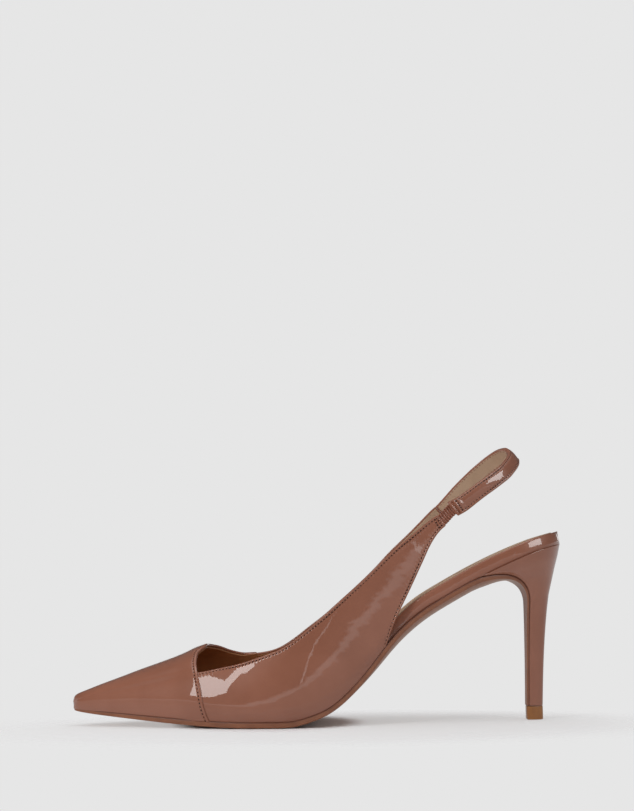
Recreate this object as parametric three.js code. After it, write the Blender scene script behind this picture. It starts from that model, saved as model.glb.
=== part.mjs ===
// A left slingback pump with a pointed toe and a stiletto heel, in millimetres with +Z up.
// It stands on the plane Z = 0, on its forepart and its heel tip. The toe points along -X, and
// the outer (lateral) side of the foot faces -Y. Places along the shoe are given as s, the
// distance behind the tip of the toe, measured along the floor.
import * as THREE from "three";

// Driving sizes of the last.
const LENGTH = 242.7; // tip of the toe to the back of the seat
const BALL_WIDTH = 71; // outsole across the ball
const SEAT_WIDTH = 49; // across the seat
const SEAT_RISE = 83.7; // back of the seat above the flat of the forepart
const TOE_SPRING = 5.9; // lift of the sole at the tip
const NOSE_RADIUS = 4.5; // rounding of the toe, seen from above
const THROAT_HEIGHT = 35.1; // ridge of the upper above the feather line, at the throat
const QUARTER_HEIGHT = 46.6; // highest part of the topline above the feather line
const BODY_BULGE = 3; // how far the ball of the upper stands out past the feather line
const TUCK_HEIGHT = 11; // height over which the toe's wall turns in to the feather line

// Sizes of the pieces.
const GAP = 0.3; // between pieces that touch
const SOLE_EDGE = 2.3; // outsole in the forepart
const SOLE_TIP = 0.7; // thinned under the tip of the toe
const SOLE_THINNED = 75; // run from there to the full edge
const WAIST_EDGE = 2; // outsole's edge at the waist
const WAIST_CROWN = 2.6; // rounded underside of the waist, beyond its edge
const FLAP_THICKNESS = 0.6; // outsole where it runs down the heel breast
const EDGE_BEVEL = 0.4; // trimmed corner of the sole's edge
const FEATHER_INSET = 0.4; // upper inside the sole's edge
const UPPER_WALL = 1.7; // patent leather and its lining
const TOE_PIECE_WALL = 1.1; // leather of the toe piece
const TOE_PIECE_PROUD = 0.6; // step from the toe piece down to the quarters
const TOE_PIECE_LENGTH = 66.4; // tip of the toe to the throat
const STEP_RUN = 0.4; // slope of the step in the wall behind the toe piece
const INSOLE_FOREPART = 2; // insole board inside the upper
const INSOLE_SEAT = 6.3; // wrapped footbed at the waist and the seat
const SOCK_THICKNESS = 0.5;
const SOCK_INSET = 1.3; // sock inside the edge of the insole
const STRAP_WIDTH = 7.7;
const STRAP_INNER_WIDTH = 9.2; // wider on the inner side of the foot
const STRAP_END_WIDTH = 8.4; // doubled end, sewn over the elastic
const STRAP_STEP = 0.8; // that end stands this much further up than the elastic
const STRAP_THICKNESS = 1.6;
const STRAP_REACH = 34.4; // how far the strap runs back past the quarters
const STRAP_RISE = 28.4; // how far it climbs
const QUARTER_END = 6.7; // width of the outer quarter where the elastic leaves it
const GORE_LENGTH = 7;
const GORE_WIDTH = 6.2;
const GORE_THICKNESS = 2.2;
const GORE_PLEATS = 6;
const PLEAT_DEPTH = 0.35;

// Sizes of the heel.
const TIP_HEIGHT = 6.5; // top piece
const TIP_LENGTH = 8;
const TIP_WIDTH = 8.2;
const TIP_SETBACK = 10.6; // back of the tip, ahead of the back of the seat
const BREAST_SETBACK = 16.9; // front of the stem at the knee, ahead of the back of the seat
const KNEE_HEIGHT = 57; // where the breast turns forward
const STEM_LEAN = 1.05; // how far the front of the stem leans from the knee to its foot
const KNEE_REACH = 17.5; // upright handle of that turn
const WEDGE_RUN = 47.3; // front of the heel, ahead of the back of the seat
const WEDGE_REACH = 11; // handle of the turn along the sole

// Feather line, where the upper, the insole and the heel meet the sole. Each row is a place on
// the length, with its share of the toe spring and of the rise to the seat.
const FEATHER = [
  { at: 0, toe: 1, seat: 0 },
  { at: 0.039, toe: 0.83, seat: 0 },
  { at: 0.101, toe: 0.627, seat: 0 },
  { at: 0.163, toe: 0.424, seat: 0 },
  { at: 0.2246, toe: 0.237, seat: 0 },
  { at: 0.2864, toe: 0.093, seat: 0 },
  { at: 0.3276, toe: 0.025, seat: 0 },
  { at: 0.3605, toe: 0, seat: 0 },
  { at: 0.4347, toe: 0, seat: 0 },
  { at: 0.4553, toe: 0, seat: 0.0066 },
  { at: 0.4771, toe: 0, seat: 0.0243 },
  { at: 0.5056, toe: 0, seat: 0.0514 },
  { at: 0.5303, toe: 0, seat: 0.092 },
  { at: 0.555, toe: 0, seat: 0.151 },
  { at: 0.5801, toe: 0, seat: 0.2234 },
  { at: 0.609, toe: 0, seat: 0.3214 },
  { at: 0.6386, toe: 0, seat: 0.4307 },
  { at: 0.6675, toe: 0, seat: 0.5185 },
  { at: 0.7136, toe: 0, seat: 0.6225 },
  { at: 0.7594, toe: 0, seat: 0.7013 },
  { at: 0.8051, toe: 0, seat: 0.7742 },
  { at: 0.8508, toe: 0, seat: 0.8411 },
  { at: 0.8966, toe: 0, seat: 0.9008 },
  { at: 0.9431, toe: 0, seat: 0.9546 },
  { at: 1, toe: 0, seat: 1 },
];

// Half widths of the sole: shares of half the ball width for each side, plus a share of half
// the seat width.
const OUTLINE = [
  { at: 0, lateral: 0.1, medial: 0.1, seat: 0 },
  { at: 0.0616, lateral: 0.285, medial: 0.3, seat: 0 },
  { at: 0.1232, lateral: 0.46, medial: 0.487, seat: 0 },
  { at: 0.2053, lateral: 0.676, medial: 0.714, seat: 0 },
  { at: 0.2875, lateral: 0.857, medial: 0.888, seat: 0 },
  { at: 0.3614, lateral: 0.968, medial: 0.985, seat: 0 },
  { at: 0.4271, lateral: 1, medial: 0.96, seat: 0 },
  { at: 0.4928, lateral: 0.95, medial: 0.855, seat: 0 },
  { at: 0.5626, lateral: 0.75, medial: 0.62, seat: 0.14 },
  { at: 0.6448, lateral: 0.45, medial: 0.33, seat: 0.41 },
  { at: 0.7187, lateral: 0.2, medial: 0.115, seat: 0.68 },
  { at: 0.809, lateral: 0.045, medial: 0.005, seat: 0.9 },
  { at: 0.9, lateral: 0, medial: 0, seat: 1 },
  { at: 1, lateral: 0, medial: 0, seat: 1 },
];

// Form of the upper: its ridge as a share of the throat height, and how far each side bulges
// past the feather line as a share of the bulge. full multiplies the fullness of the arch, and
// tuck is a share of the tuck height. Behind the throat the ridge is that of the foot, which
// the quarters lean towards.
const FORM = [
  { at: 0, ridge: 0.1, lateral: 0.1, medial: 0.1, full: 1.5, tuck: 1 },
  { at: 0.0021, ridge: 0.152, lateral: 0.12, medial: 0.12, full: 1.5, tuck: 1 },
  { at: 0.007, ridge: 0.185, lateral: 0.2, medial: 0.2, full: 1.5, tuck: 1 },
  { at: 0.014, ridge: 0.212, lateral: 0.3, medial: 0.3, full: 1.5, tuck: 1 },
  { at: 0.0313, ridge: 0.27, lateral: 0.42, medial: 0.42, full: 1.5, tuck: 1 },
  { at: 0.0519, ridge: 0.339, lateral: 0.5, medial: 0.5, full: 1.5, tuck: 1 },
  { at: 0.0927, ridge: 0.46, lateral: 0.6, medial: 0.6, full: 1.4, tuck: 1 },
  { at: 0.1339, ridge: 0.588, lateral: 0.68, medial: 0.68, full: 1.3, tuck: 1 },
  { at: 0.1747, ridge: 0.706, lateral: 0.74, medial: 0.76, full: 1.25, tuck: 1 },
  { at: 0.2159, ridge: 0.829, lateral: 0.78, medial: 0.82, full: 1.2, tuck: 1 },
  { at: 0.2365, ridge: 0.898, lateral: 0.78, medial: 0.84, full: 1.18, tuck: 0.95 },
  { at: 0.2571, ridge: 0.982, lateral: 0.78, medial: 0.85, full: 1.16, tuck: 0.9 },
  { at: 0.2674, ridge: 0.994, lateral: 0.78, medial: 0.86, full: 1.15, tuck: 0.87 },
  { at: 0.2736, ridge: 1, lateral: 0.79, medial: 0.87, full: 1.14, tuck: 0.85 },
  { at: 0.308, ridge: 1.11, lateral: 0.84, medial: 0.9, full: 1.08, tuck: 0.75 },
  { at: 0.345, ridge: 1.33, lateral: 0.9, medial: 0.94, full: 1.03, tuck: 0.68 },
  { at: 0.4107, ridge: 1.77, lateral: 0.93, medial: 1.05, full: 1, tuck: 0.65 },
  { at: 0.4928, ridge: 2.37, lateral: 0.9, medial: 1.2, full: 1, tuck: 0.7 },
  { at: 0.575, ridge: 2.84, lateral: 0.66, medial: 1.3, full: 1, tuck: 0.8 },
  { at: 0.657, ridge: 3.11, lateral: 0.52, medial: 1.45, full: 1, tuck: 0.8 },
  { at: 0.76, ridge: 3.82, lateral: 0.6, medial: 1.3, full: 1, tuck: 0.8 },
  { at: 0.82, ridge: 4.28, lateral: 0.6, medial: 1, full: 1, tuck: 0.8 },
];
const ARCH_TOP = 2.1; // fullness of the arch towards its ridge
const ARCH_SIDE = 2.3; // fullness towards its sides
const TUCK_SHARE = 0.6; // most that the tuck takes of a low wall

// What each side's pattern has. seam: rear edge of the toe piece, from the feather line up to
// the topline, as a share of the toe piece's length. throat: the edge from there up over the
// ridge, as the share of the way to the ridge along the length. topline: height above the
// feather line as a share of the quarter height. back: rear edge of the quarter, as the share
// of its run for each share of its climb.
const OUTER = {
  side: -1,
  column: "lateral",
  seam: [
    { up: 0, at: 1.038 },
    { up: 0.15, at: 1.0155 },
    { up: 0.343, at: 0.995 },
    { up: 0.608, at: 0.979 },
    { up: 0.838, at: 0.96 },
    { up: 1, at: 0.947 },
  ],
  throat: [
    { up: 0, toward: 0 },
    { up: 0.46, toward: -0.22 },
    { up: 0.76, toward: -0.15 },
    { up: 0.9, toward: 0.43 },
    { up: 1, toward: 1 },
  ],
  topline: [
    { at: 0.2597, rise: 0.486 },
    { at: 0.3014, rise: 0.543 },
    { at: 0.3526, rise: 0.608 },
    { at: 0.3776, rise: 0.653 },
    { at: 0.403, rise: 0.697 },
    { at: 0.424, rise: 0.735 },
    { at: 0.4438, rise: 0.793 },
    { at: 0.4639, rise: 0.85 },
    { at: 0.4838, rise: 0.902 },
    { at: 0.5041, rise: 0.948 },
    { at: 0.524, rise: 0.981 },
    { at: 0.5444, rise: 0.998 },
    { at: 0.5644, rise: 0.996 },
    { at: 0.5848, rise: 0.975 },
    { at: 0.6049, rise: 0.95 },
    { at: 0.6253, rise: 0.917 },
    { at: 0.6459, rise: 0.891 },
    { at: 0.6665, rise: 0.876 },
    { at: 0.6878, rise: 0.863 },
    { at: 0.7037, rise: 0.87 },
    { at: 0.7164, rise: 0.879 },
    { at: 0.7419, rise: 0.895 },
  ],
  back: [
    { up: 0, run: 0 },
    { up: 0.179, run: 0.129 },
    { up: 0.511, run: 0.44 },
    { up: 0.71, run: 0.625 },
    { up: 0.846, run: 0.753 },
    { up: 0.957, run: 0.905 },
    { up: 1, run: 1 },
  ],
  end: 0.7419, // where the topline meets the elastic
  endWidth: QUARTER_END,
  endSlope: 52, // degrees that the end falls, from its upper corner
};
const INNER = {
  side: 1,
  column: "medial",
  seam: [
    { up: 0, at: 1.154 },
    { up: 0.23, at: 1.206 },
    { up: 0.53, at: 1.272 },
    { up: 0.8, at: 1.318 },
    { up: 1, at: 1.345 },
  ],
  throat: [
    { up: 0, toward: 0 },
    { up: 0.19, toward: 0.28 },
    { up: 0.49, toward: 0.552 },
    { up: 0.83, toward: 0.81 },
    { up: 1, toward: 1 },
  ],
  topline: [
    { at: 0.3682, rise: 0.654 },
    { at: 0.3954, rise: 0.675 },
    { at: 0.4181, rise: 0.712 },
    { at: 0.4397, rise: 0.778 },
    { at: 0.4609, rise: 0.841 },
    { at: 0.5037, rise: 0.939 },
    { at: 0.5472, rise: 0.987 },
    { at: 0.5899, rise: 0.959 },
    { at: 0.6333, rise: 0.898 },
    { at: 0.6763, rise: 0.887 },
    { at: 0.7199, rise: 0.937 },
    { at: 0.7521, rise: 1.01 },
  ],
  back: OUTER.back,
  end: 0.7521,
  endWidth: 8,
  endSlope: 46,
};
const BACK_CORNER = 0.635; // where the quarters leave the sole, on the length
const CORNER_SHARE = 0.58; // columns of a quarter that end on the sole

// Strap from its outer end round the heel of the foot to the inner quarter: shares of the
// reach, of half the spread between the quarters, and of the rise, with the lean of its face.
const STRAP = [
  { reach: 0.164, out: -0.97, rise: 0.104, lean: 35 },
  { reach: 0.426, out: -0.89, rise: 0.327, lean: 34 },
  { reach: 0.598, out: -0.8, rise: 0.465, lean: 37 },
  { reach: 0.782, out: -0.61, rise: 0.622, lean: 43 },
  { reach: 0.88, out: -0.41, rise: 0.731, lean: 45 },
  { reach: 0.963, out: -0.17, rise: 0.841, lean: 48 },
  { reach: 0.998, out: 0.03, rise: 0.917, lean: 47 },
  { reach: 1, out: 0.2, rise: 0.975, lean: 48 },
  { reach: 0.975, out: 0.42, rise: 1.005, lean: 48 },
  { reach: 0.89, out: 0.75, rise: 0.98, lean: 46 },
  { reach: 0.744, out: 0.94, rise: 0.857, lean: 44 },
  { reach: 0.58, out: 1.01, rise: 0.69, lean: 44 },
  { reach: 0.407, out: 1.02, rise: 0.49, lean: 44 },
  { reach: 0.22, out: 1.01, rise: 0.262, lean: 44 },
];

// Heel: how far each row, from the seat down to the tip, keeps the seat's extra width.
const FLARE = [
  { down: 0, keep: 1 },
  { down: 0.1, keep: 0.9 },
  { down: 0.2, keep: 0.73 },
  { down: 0.3, keep: 0.51 },
  { down: 0.4, keep: 0.31 },
  { down: 0.5, keep: 0.17 },
  { down: 0.65, keep: 0.07 },
  { down: 0.8, keep: 0.02 },
  { down: 1, keep: 0 },
];
// Back of the heel: setback from the back of the seat as a share of the tip's.
const HEEL_BACK = [
  { down: 0, setback: 0.01 },
  { down: 0.1, setback: 0.121 },
  { down: 0.2, setback: 0.262 },
  { down: 0.3, setback: 0.386 },
  { down: 0.4, setback: 0.51 },
  { down: 0.46, setback: 0.581 },
  { down: 0.54, setback: 0.686 },
  { down: 0.7, setback: 0.838 },
  { down: 0.85, setback: 0.933 },
  { down: 1, setback: 1 },
];
const KNEE_SHARE = 0.46; // share of the heel's rows above the knee
const KNEE_ROW_RISE = 4; // that row is this much higher at the back

// Steps of the faceted surfaces.
const TOE_COLUMNS = 15;
const QUARTER_COLUMNS = 28;
const WALL_ROWS = 7; // from the feather line to the topline
const THROAT_ROWS = 5; // from there to the ridge
const SOLE_STEPS = 46;
const BREAST_STEPS = 20;
const INSOLE_STEPS = 44;
const HEEL_ROWS = 20;
const HEEL_AROUND = 9;
const STRAP_STEPS = 44;
const PLEAT_STEPS = 4;

// Monotone cubic through a table's columns (Fritsch and Carlson), held level past its ends.
function smooth(rows, from, to) {
  const x = rows.map((row) => row[from]);
  const y = rows.map((row) => row[to]);
  const last = x.length - 1;
  const step = x.slice(1).map((value, i) => value - x[i]);
  const slope = step.map((h, i) => (y[i + 1] - y[i]) / h);
  const tangent = x.map((_, i) => {
    if (i === 0) return slope[0];
    if (i === last) return slope[last - 1];
    if (slope[i - 1] * slope[i] <= 0) return 0;
    const before = 2 * step[i] + step[i - 1];
    const after = step[i] + 2 * step[i - 1];
    return (before + after) / (before / slope[i - 1] + after / slope[i]);
  });
  return (value) => {
    if (value <= x[0]) return y[0];
    if (value >= x[last]) return y[last];
    let i = 0;
    while (value > x[i + 1]) i += 1;
    const t = (value - x[i]) / step[i];
    const bend = t * t * (3 - 2 * t);
    const enter = t * (1 - t) * (1 - t) * step[i] * tangent[i];
    const leave = t * t * (t - 1) * step[i] * tangent[i + 1];
    return y[i] + (y[i + 1] - y[i]) * bend + enter + leave;
  };
}

const along = (rows, column) => {
  const share = smooth(rows, "at", column);
  return (s) => share(s / LENGTH);
};
const mix = (a, b, t) => a + (b - a) * t;
const ease = (t) => {
  const k = THREE.MathUtils.clamp(t, 0, 1);
  return k * k * (3 - 2 * k);
};
const CENTRE = (LENGTH - TOE_PIECE_PROUD) / 2; // the box's middle, as a place on the length
const place = (s, y, z) => new THREE.Vector3(s - CENTRE, y, z);

const toeLift = along(FEATHER, "toe");
const seatLift = along(FEATHER, "seat");
const feather = (s) => GAP + SOLE_EDGE + TOE_SPRING * toeLift(s) + SEAT_RISE * seatLift(s);
const featherSlope = (s) => feather(s + 0.5) - feather(s - 0.5);

// Roundness of an outline's end: a quarter circle over the radius, level after it.
const round = (distance, radius) => {
  const left = THREE.MathUtils.clamp(1 - distance / radius, 0, 1);
  return Math.sqrt(1 - left * left);
};
const ballShare = { lateral: along(OUTLINE, "lateral"), medial: along(OUTLINE, "medial") };
const seatShare = along(OUTLINE, "seat");
const bluntWidth = (s, column) =>
  (BALL_WIDTH / 2) * ballShare[column](s) + (SEAT_WIDTH / 2) * seatShare(s);
const ends = (s) => round(s, NOSE_RADIUS) * round(LENGTH - s, SEAT_WIDTH / 2);
const outline = (s, column) => bluntWidth(s, column) * ends(s);

const ridgeShare = along(FORM, "ridge");
const bulgeShare = { lateral: along(FORM, "lateral"), medial: along(FORM, "medial") };
const fullShare = along(FORM, "full");
const tuckShare = along(FORM, "tuck");
const formHeight = (s) => THROAT_HEIGHT * ridgeShare(s);

// Outer face of the upper at place s, at a share of the form's height above the feather line:
// a fuller ellipse whose foot turns in to the feather line.
function formPoint(s, pattern, rise) {
  const height = formHeight(s);
  const body = bluntWidth(s, pattern.column) + BODY_BULGE * bulgeShare[pattern.column](s);
  const foot = bluntWidth(s, pattern.column) - FEATHER_INSET;
  const over = (1 - Math.min(rise, 1) ** (ARCH_TOP * fullShare(s))) ** (1 / ARCH_SIDE);
  const tuckHeight = Math.min(TUCK_HEIGHT * tuckShare(s), TUCK_SHARE * height);
  const tuck = (body - foot) * Math.max(0, 1 - (height * rise) / tuckHeight) ** 2;
  const y = (body * over - tuck) * round(s, NOSE_RADIUS);
  return place(s, pattern.side * y, feather(s) + height * rise);
}

// Adds to a side's pattern its corners and edges as functions.
function cutPattern(pattern) {
  const seamShare = smooth(pattern.seam, "up", "at");
  const throatShare = smooth(pattern.throat, "up", "toward");
  const toplineShare = along(pattern.topline, "rise");
  const backShare = smooth(pattern.back, "up", "run");
  const topline = (s) => QUARTER_HEIGHT * toplineShare(s);
  const notch = TOE_PIECE_LENGTH * seamShare(1);
  const notchRise = topline(notch) / formHeight(notch);
  // Rear edge of the toe piece at a share of the form's height.
  const edge = (rise) =>
    rise <= notchRise
      ? TOE_PIECE_LENGTH * seamShare(rise / notchRise)
      : mix(notch, TOE_PIECE_LENGTH, throatShare((rise - notchRise) / (1 - notchRise)));
  const end = pattern.end * LENGTH;
  const slope = THREE.MathUtils.degToRad(pattern.endSlope);
  const upperCorner = new THREE.Vector2(end, feather(end) + topline(end));
  const lowerCorner = new THREE.Vector2(
    upperCorner.x + pattern.endWidth * Math.cos(slope),
    upperCorner.y - pattern.endWidth * Math.sin(slope),
  );
  const heelCorner = new THREE.Vector2(
    BACK_CORNER * LENGTH,
    feather(BACK_CORNER * LENGTH),
  );
  // Lower edge of the quarter in side view: along the feather line, then up its rear edge.
  const lowerEdge = (u) => {
    if (u <= CORNER_SHARE) {
      const s = mix(TOE_PIECE_LENGTH * seamShare(0), heelCorner.x, u / CORNER_SHARE);
      return new THREE.Vector2(s, feather(s));
    }
    const up = (u - CORNER_SHARE) / (1 - CORNER_SHARE);
    return new THREE.Vector2(
      mix(heelCorner.x, lowerCorner.x, backShare(up)),
      mix(heelCorner.y, lowerCorner.y, up),
    );
  };
  const upperEdge = (u) => {
    const s = mix(notch, end, u);
    return new THREE.Vector2(s, feather(s) + topline(s));
  };
  return { ...pattern, notchRise, edge, lowerEdge, upperEdge, upperCorner, lowerCorner };
}

// Shares of the form's height for a side's rows, up to the topline and then to the ridge.
function rowRises(pattern) {
  const start = Math.asin(pattern.notchRise ** (ARCH_TOP / 2));
  const lower = Array.from({ length: WALL_ROWS + 1 }, (_, i) => (pattern.notchRise * i) / WALL_ROWS);
  const upper = Array.from({ length: THROAT_ROWS }, (_, i) =>
    Math.sin(mix(start, Math.PI / 2, (i + 1) / THROAT_ROWS)) ** (2 / ARCH_TOP),
  );
  return [...lower, ...upper];
}

// Grid of the toe on one side: columns from the tip to the toe piece's rear edge. At the tip
// both sides have the same rows.
function toeGrid(pattern, offsets) {
  const tipRises = rowRises({ notchRise: (outer.notchRise + inner.notchRise) / 2 });
  const ownRises = rowRises(pattern);
  return Array.from({ length: TOE_COLUMNS + 1 }, (_, i) =>
    ownRises.map((own, row) => {
      const rise = mix(tipRises[row], own, i / TOE_COLUMNS);
      const run = (i / TOE_COLUMNS) ** 1.7;
      return { at: formPoint(pattern.edge(own) * run, pattern, rise), onSole: row === 0, ...offsets };
    }),
  );
}

// Point of a quarter in side view, brought out to the form. u runs back along the quarter and v
// up from its lower edge; the front column follows the toe piece's rear edge.
function quarterPoint(pattern, u, v, shift) {
  const lower = pattern.lowerEdge(u);
  const upper = pattern.upperEdge(u);
  const seamRise = pattern.notchRise * v;
  const seam = pattern.edge(seamRise);
  const front = new THREE.Vector2(seam, feather(seam) + formHeight(seam) * seamRise);
  const ruled = pattern.lowerEdge(0).lerp(pattern.upperEdge(0), v);
  const fade = Math.max(0, 1 - u / 0.3) ** 2;
  const at = lower.lerp(upper, v).addScaledVector(front.sub(ruled), fade);
  at.x += shift;
  return formPoint(at.x, pattern, Math.max(0, (at.y - feather(at.x)) / formHeight(at.x)));
}

function quarterGrid(pattern, recessed, full) {
  const shoulder = GAP + STEP_RUN;
  const columns = [
    { u: 0, shift: 0, offsets: recessed },
    { u: 0, shift: GAP, offsets: recessed },
    { u: 0, shift: shoulder, offsets: full },
  ];
  for (let i = 1; i <= QUARTER_COLUMNS; i += 1) {
    const u = i / QUARTER_COLUMNS;
    columns.push({ u, shift: shoulder * (1 - u) ** 4, offsets: full });
  }
  return columns.map(({ u, shift, offsets }) =>
    Array.from({ length: WALL_ROWS + 1 }, (_, row) => ({
      at: quarterPoint(pattern, u, row / WALL_ROWS, shift),
      onSole: row === 0 && u <= CORNER_SHARE,
      ...offsets,
    })),
  );
}

// Makes a closed geometry from triangles given as triples of points. Points closer than the
// grain are one point, and triangles that this closes up are left out.
function closedGeometry(triangles) {
  const grain = 2e-3;
  const found = new Map();
  const position = [];
  const index = [];
  const idOf = (p) => {
    const key = [p.x, p.y, p.z].map((value) => Math.round(value / grain)).join();
    if (!found.has(key)) {
      found.set(key, position.length / 3);
      position.push(p.x, p.y, p.z);
    }
    return found.get(key);
  };
  let volume = 0;
  for (const [a, b, c] of triangles) {
    const [i, j, k] = [idOf(a), idOf(b), idOf(c)];
    if (i === j || j === k || k === i) continue;
    index.push(i, j, k);
    volume += a.dot(new THREE.Vector3().crossVectors(b, c));
  }
  if (volume < 0) index.reverse();
  const geometry = new THREE.BufferGeometry();
  geometry.setAttribute("position", new THREE.Float32BufferAttribute(position, 3));
  geometry.setIndex(index);
  geometry.computeVertexNormals();
  return geometry;
}

const quad = (a, b, c, d) => [
  [a, b, c],
  [a, c, d],
];

// Gives a wall to a skin made of grids: each point has an inner and an outer offset along the
// skin's normal, and every open edge of the skin gets a rim.
function wall(grids) {
  const points = [];
  const ids = new Map();
  const faces = [];
  const idOf = (point) => {
    const key = point.at.toArray().map((value) => value.toFixed(2)).join();
    if (!ids.has(key)) {
      ids.set(key, points.length);
      points.push({ ...point, normal: new THREE.Vector3() });
    }
    return ids.get(key);
  };
  for (const { grid, side } of grids) {
    for (let i = 0; i + 1 < grid.length; i += 1) {
      for (let j = 0; j + 1 < grid[i].length; j += 1) {
        const ring = [grid[i][j], grid[i + 1][j], grid[i + 1][j + 1], grid[i][j + 1]].map(idOf);
        const turned = side < 0 ? ring : ring.reverse();
        const face = turned.filter((id, n) => id !== turned[(n + 1) % 4]);
        if (face.length > 2) faces.push(face);
      }
    }
  }
  const edges = new Map();
  for (const face of faces) {
    const [a, b, c, d] = face.map((id) => points[id].at);
    const across = new THREE.Vector3().subVectors(c, a);
    const other = new THREE.Vector3().subVectors(d ?? a, b);
    const normal = across.cross(other);
    face.forEach((id, n) => {
      points[id].normal.add(normal);
      const next = face[(n + 1) % face.length];
      if (!edges.delete(`${next},${id}`)) edges.set(`${id},${next}`, [id, next]);
    });
  }
  for (const point of points) {
    if (point.onSole) point.normal.z = 0;
    point.normal.normalize();
    point.outside = point.at.clone().addScaledVector(point.normal, point.outer);
    point.inside = point.at.clone().addScaledVector(point.normal, point.inner);
  }
  const triangles = [];
  for (const face of faces) {
    for (let n = 1; n + 1 < face.length; n += 1) {
      const [a, b, c] = [points[face[0]], points[face[n]], points[face[n + 1]]];
      triangles.push([a.outside, b.outside, c.outside]);
      triangles.push([c.inside, b.inside, a.inside]);
    }
  }
  for (const [from, to] of edges.values()) {
    const [a, b] = [points[from], points[to]];
    triangles.push(...quad(b.outside, a.outside, a.inside, b.inside));
  }
  return closedGeometry(triangles);
}

// Skins closed rings, each with as many points as the next. The ends are closed by strips
// across the ring, from its first half to its second.
function loft(rings) {
  const triangles = [];
  const count = rings[0].length;
  for (let i = 0; i + 1 < rings.length; i += 1) {
    for (let j = 0; j < count; j += 1) {
      const next = (j + 1) % count;
      triangles.push(...quad(rings[i][j], rings[i][next], rings[i + 1][next], rings[i + 1][j]));
    }
  }
  const cap = (ring, turned) => {
    for (let j = 0; j < count / 2 - 1; j += 1) {
      const across = quad(ring[j], ring[count - 1 - j], ring[count - 2 - j], ring[j + 1]);
      triangles.push(...(turned ? across.map((face) => [...face].reverse()) : across));
    }
  };
  cap(rings[0], false);
  cap(rings[rings.length - 1], true);
  return closedGeometry(triangles);
}

// Breast of the heel in side view: a turn away from the sole, then straight down the stem.
const breastFront = LENGTH - BREAST_SETBACK;
const wedgeStart = LENGTH - WEDGE_RUN;
const wedgeTangent = new THREE.Vector2(1, featherSlope(wedgeStart)).normalize();
const stemFoot = TIP_HEIGHT + GAP;
const stemRise = new THREE.Vector2(STEM_LEAN, KNEE_HEIGHT - stemFoot).normalize();
const breastTurn = new THREE.CubicBezierCurve(
  new THREE.Vector2(wedgeStart, feather(wedgeStart)),
  new THREE.Vector2(wedgeStart, feather(wedgeStart)).addScaledVector(wedgeTangent, WEDGE_REACH),
  new THREE.Vector2(breastFront, KNEE_HEIGHT).addScaledVector(stemRise, KNEE_REACH),
  new THREE.Vector2(breastFront, KNEE_HEIGHT),
);
const WEDGE_TIP = 0.14; // share of the turn that passes before the heel has a thickness
function breastPoint(down) {
  if (down <= KNEE_SHARE) return breastTurn.getPoint(mix(WEDGE_TIP, 1, down / KNEE_SHARE));
  const fall = (down - KNEE_SHARE) / (1 - KNEE_SHARE);
  return new THREE.Vector2(breastFront - STEM_LEAN * fall, mix(KNEE_HEIGHT, stemFoot, fall));
}
const flare = smooth(FLARE, "down", "keep");
const setback = smooth(HEEL_BACK, "down", "setback");

// Half width of the heel on a row, at a share of the way from its breast to its back.
function heelWidth(down, back, column) {
  const front = breastPoint(0).x;
  const seat = outline(mix(front, LENGTH - TIP_SETBACK * setback(0), back), column);
  const widest = bluntWidth(LENGTH, column);
  const oval = (1 - back ** 2.4) ** (1 / 2.4);
  const profile = mix(seat / widest, oval, ease(down / KNEE_SHARE));
  return mix(TIP_WIDTH / 2, widest, flare(down)) * profile;
}

// Ring of the heel: from its outer front corner round the back to its inner front corner.
function heelRing(down) {
  const front = breastPoint(down);
  const kneeBack = KNEE_HEIGHT + KNEE_ROW_RISE;
  const topBack = feather(LENGTH) - GAP;
  const backHeight =
    down <= KNEE_SHARE
      ? mix(topBack, kneeBack, down / KNEE_SHARE)
      : mix(kneeBack, stemFoot, (down - KNEE_SHARE) / (1 - KNEE_SHARE));
  const back = new THREE.Vector2(LENGTH - TIP_SETBACK * setback(down), backHeight);
  const seatFront = breastPoint(0);
  const seatBack = LENGTH - TIP_SETBACK * setback(0);
  const half = (pattern) =>
    Array.from({ length: HEEL_AROUND + 1 }, (_, i) => {
      const share = Math.sin((i / HEEL_AROUND) * (Math.PI / 2));
      const at = front.clone().lerp(back, share);
      const seatAt = mix(seatFront.x, seatBack, share);
      const seatLine = feather(seatAt) - GAP;
      const ruled = mix(seatFront.y, topBack, share);
      const follow = Math.max(0, 1 - down / KNEE_SHARE) ** mix(40, 3, ease(share / 0.3));
      const y = pattern.side * heelWidth(down, share, pattern.column);
      return place(at.x, y, at.y + (seatLine - ruled) * follow);
    });
  return [...half(OUTER), ...half(INNER).reverse()];
}

// One section of a sole or insole: a flat face of the given half widths at one side of a path,
// and an edge and a crown at the other.
function soleRing({ at, normal, lateral, medial, edge, crown, bevel }) {
  const point = (across, depth) => {
    const width = across < 0 ? lateral : medial;
    const p = at.clone().addScaledVector(normal, depth);
    return place(p.x, across * width, p.y);
  };
  const inside = 1 - bevel / Math.max(Math.min(lateral, medial), 2 * bevel, 0.01);
  const far = [-1, -0.8, -0.5, -0.17, 0.17, 0.5, 0.8, 1];
  const near = [1, 0.5, -0.5, -1];
  return [
    point(-1, edge - bevel),
    ...far.map((across) => point(across * inside, edge + crown * (1 - Math.abs(across) ** 3))),
    point(1, edge - bevel),
    ...near.map((across) => point(across, 0)),
  ];
}

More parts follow.
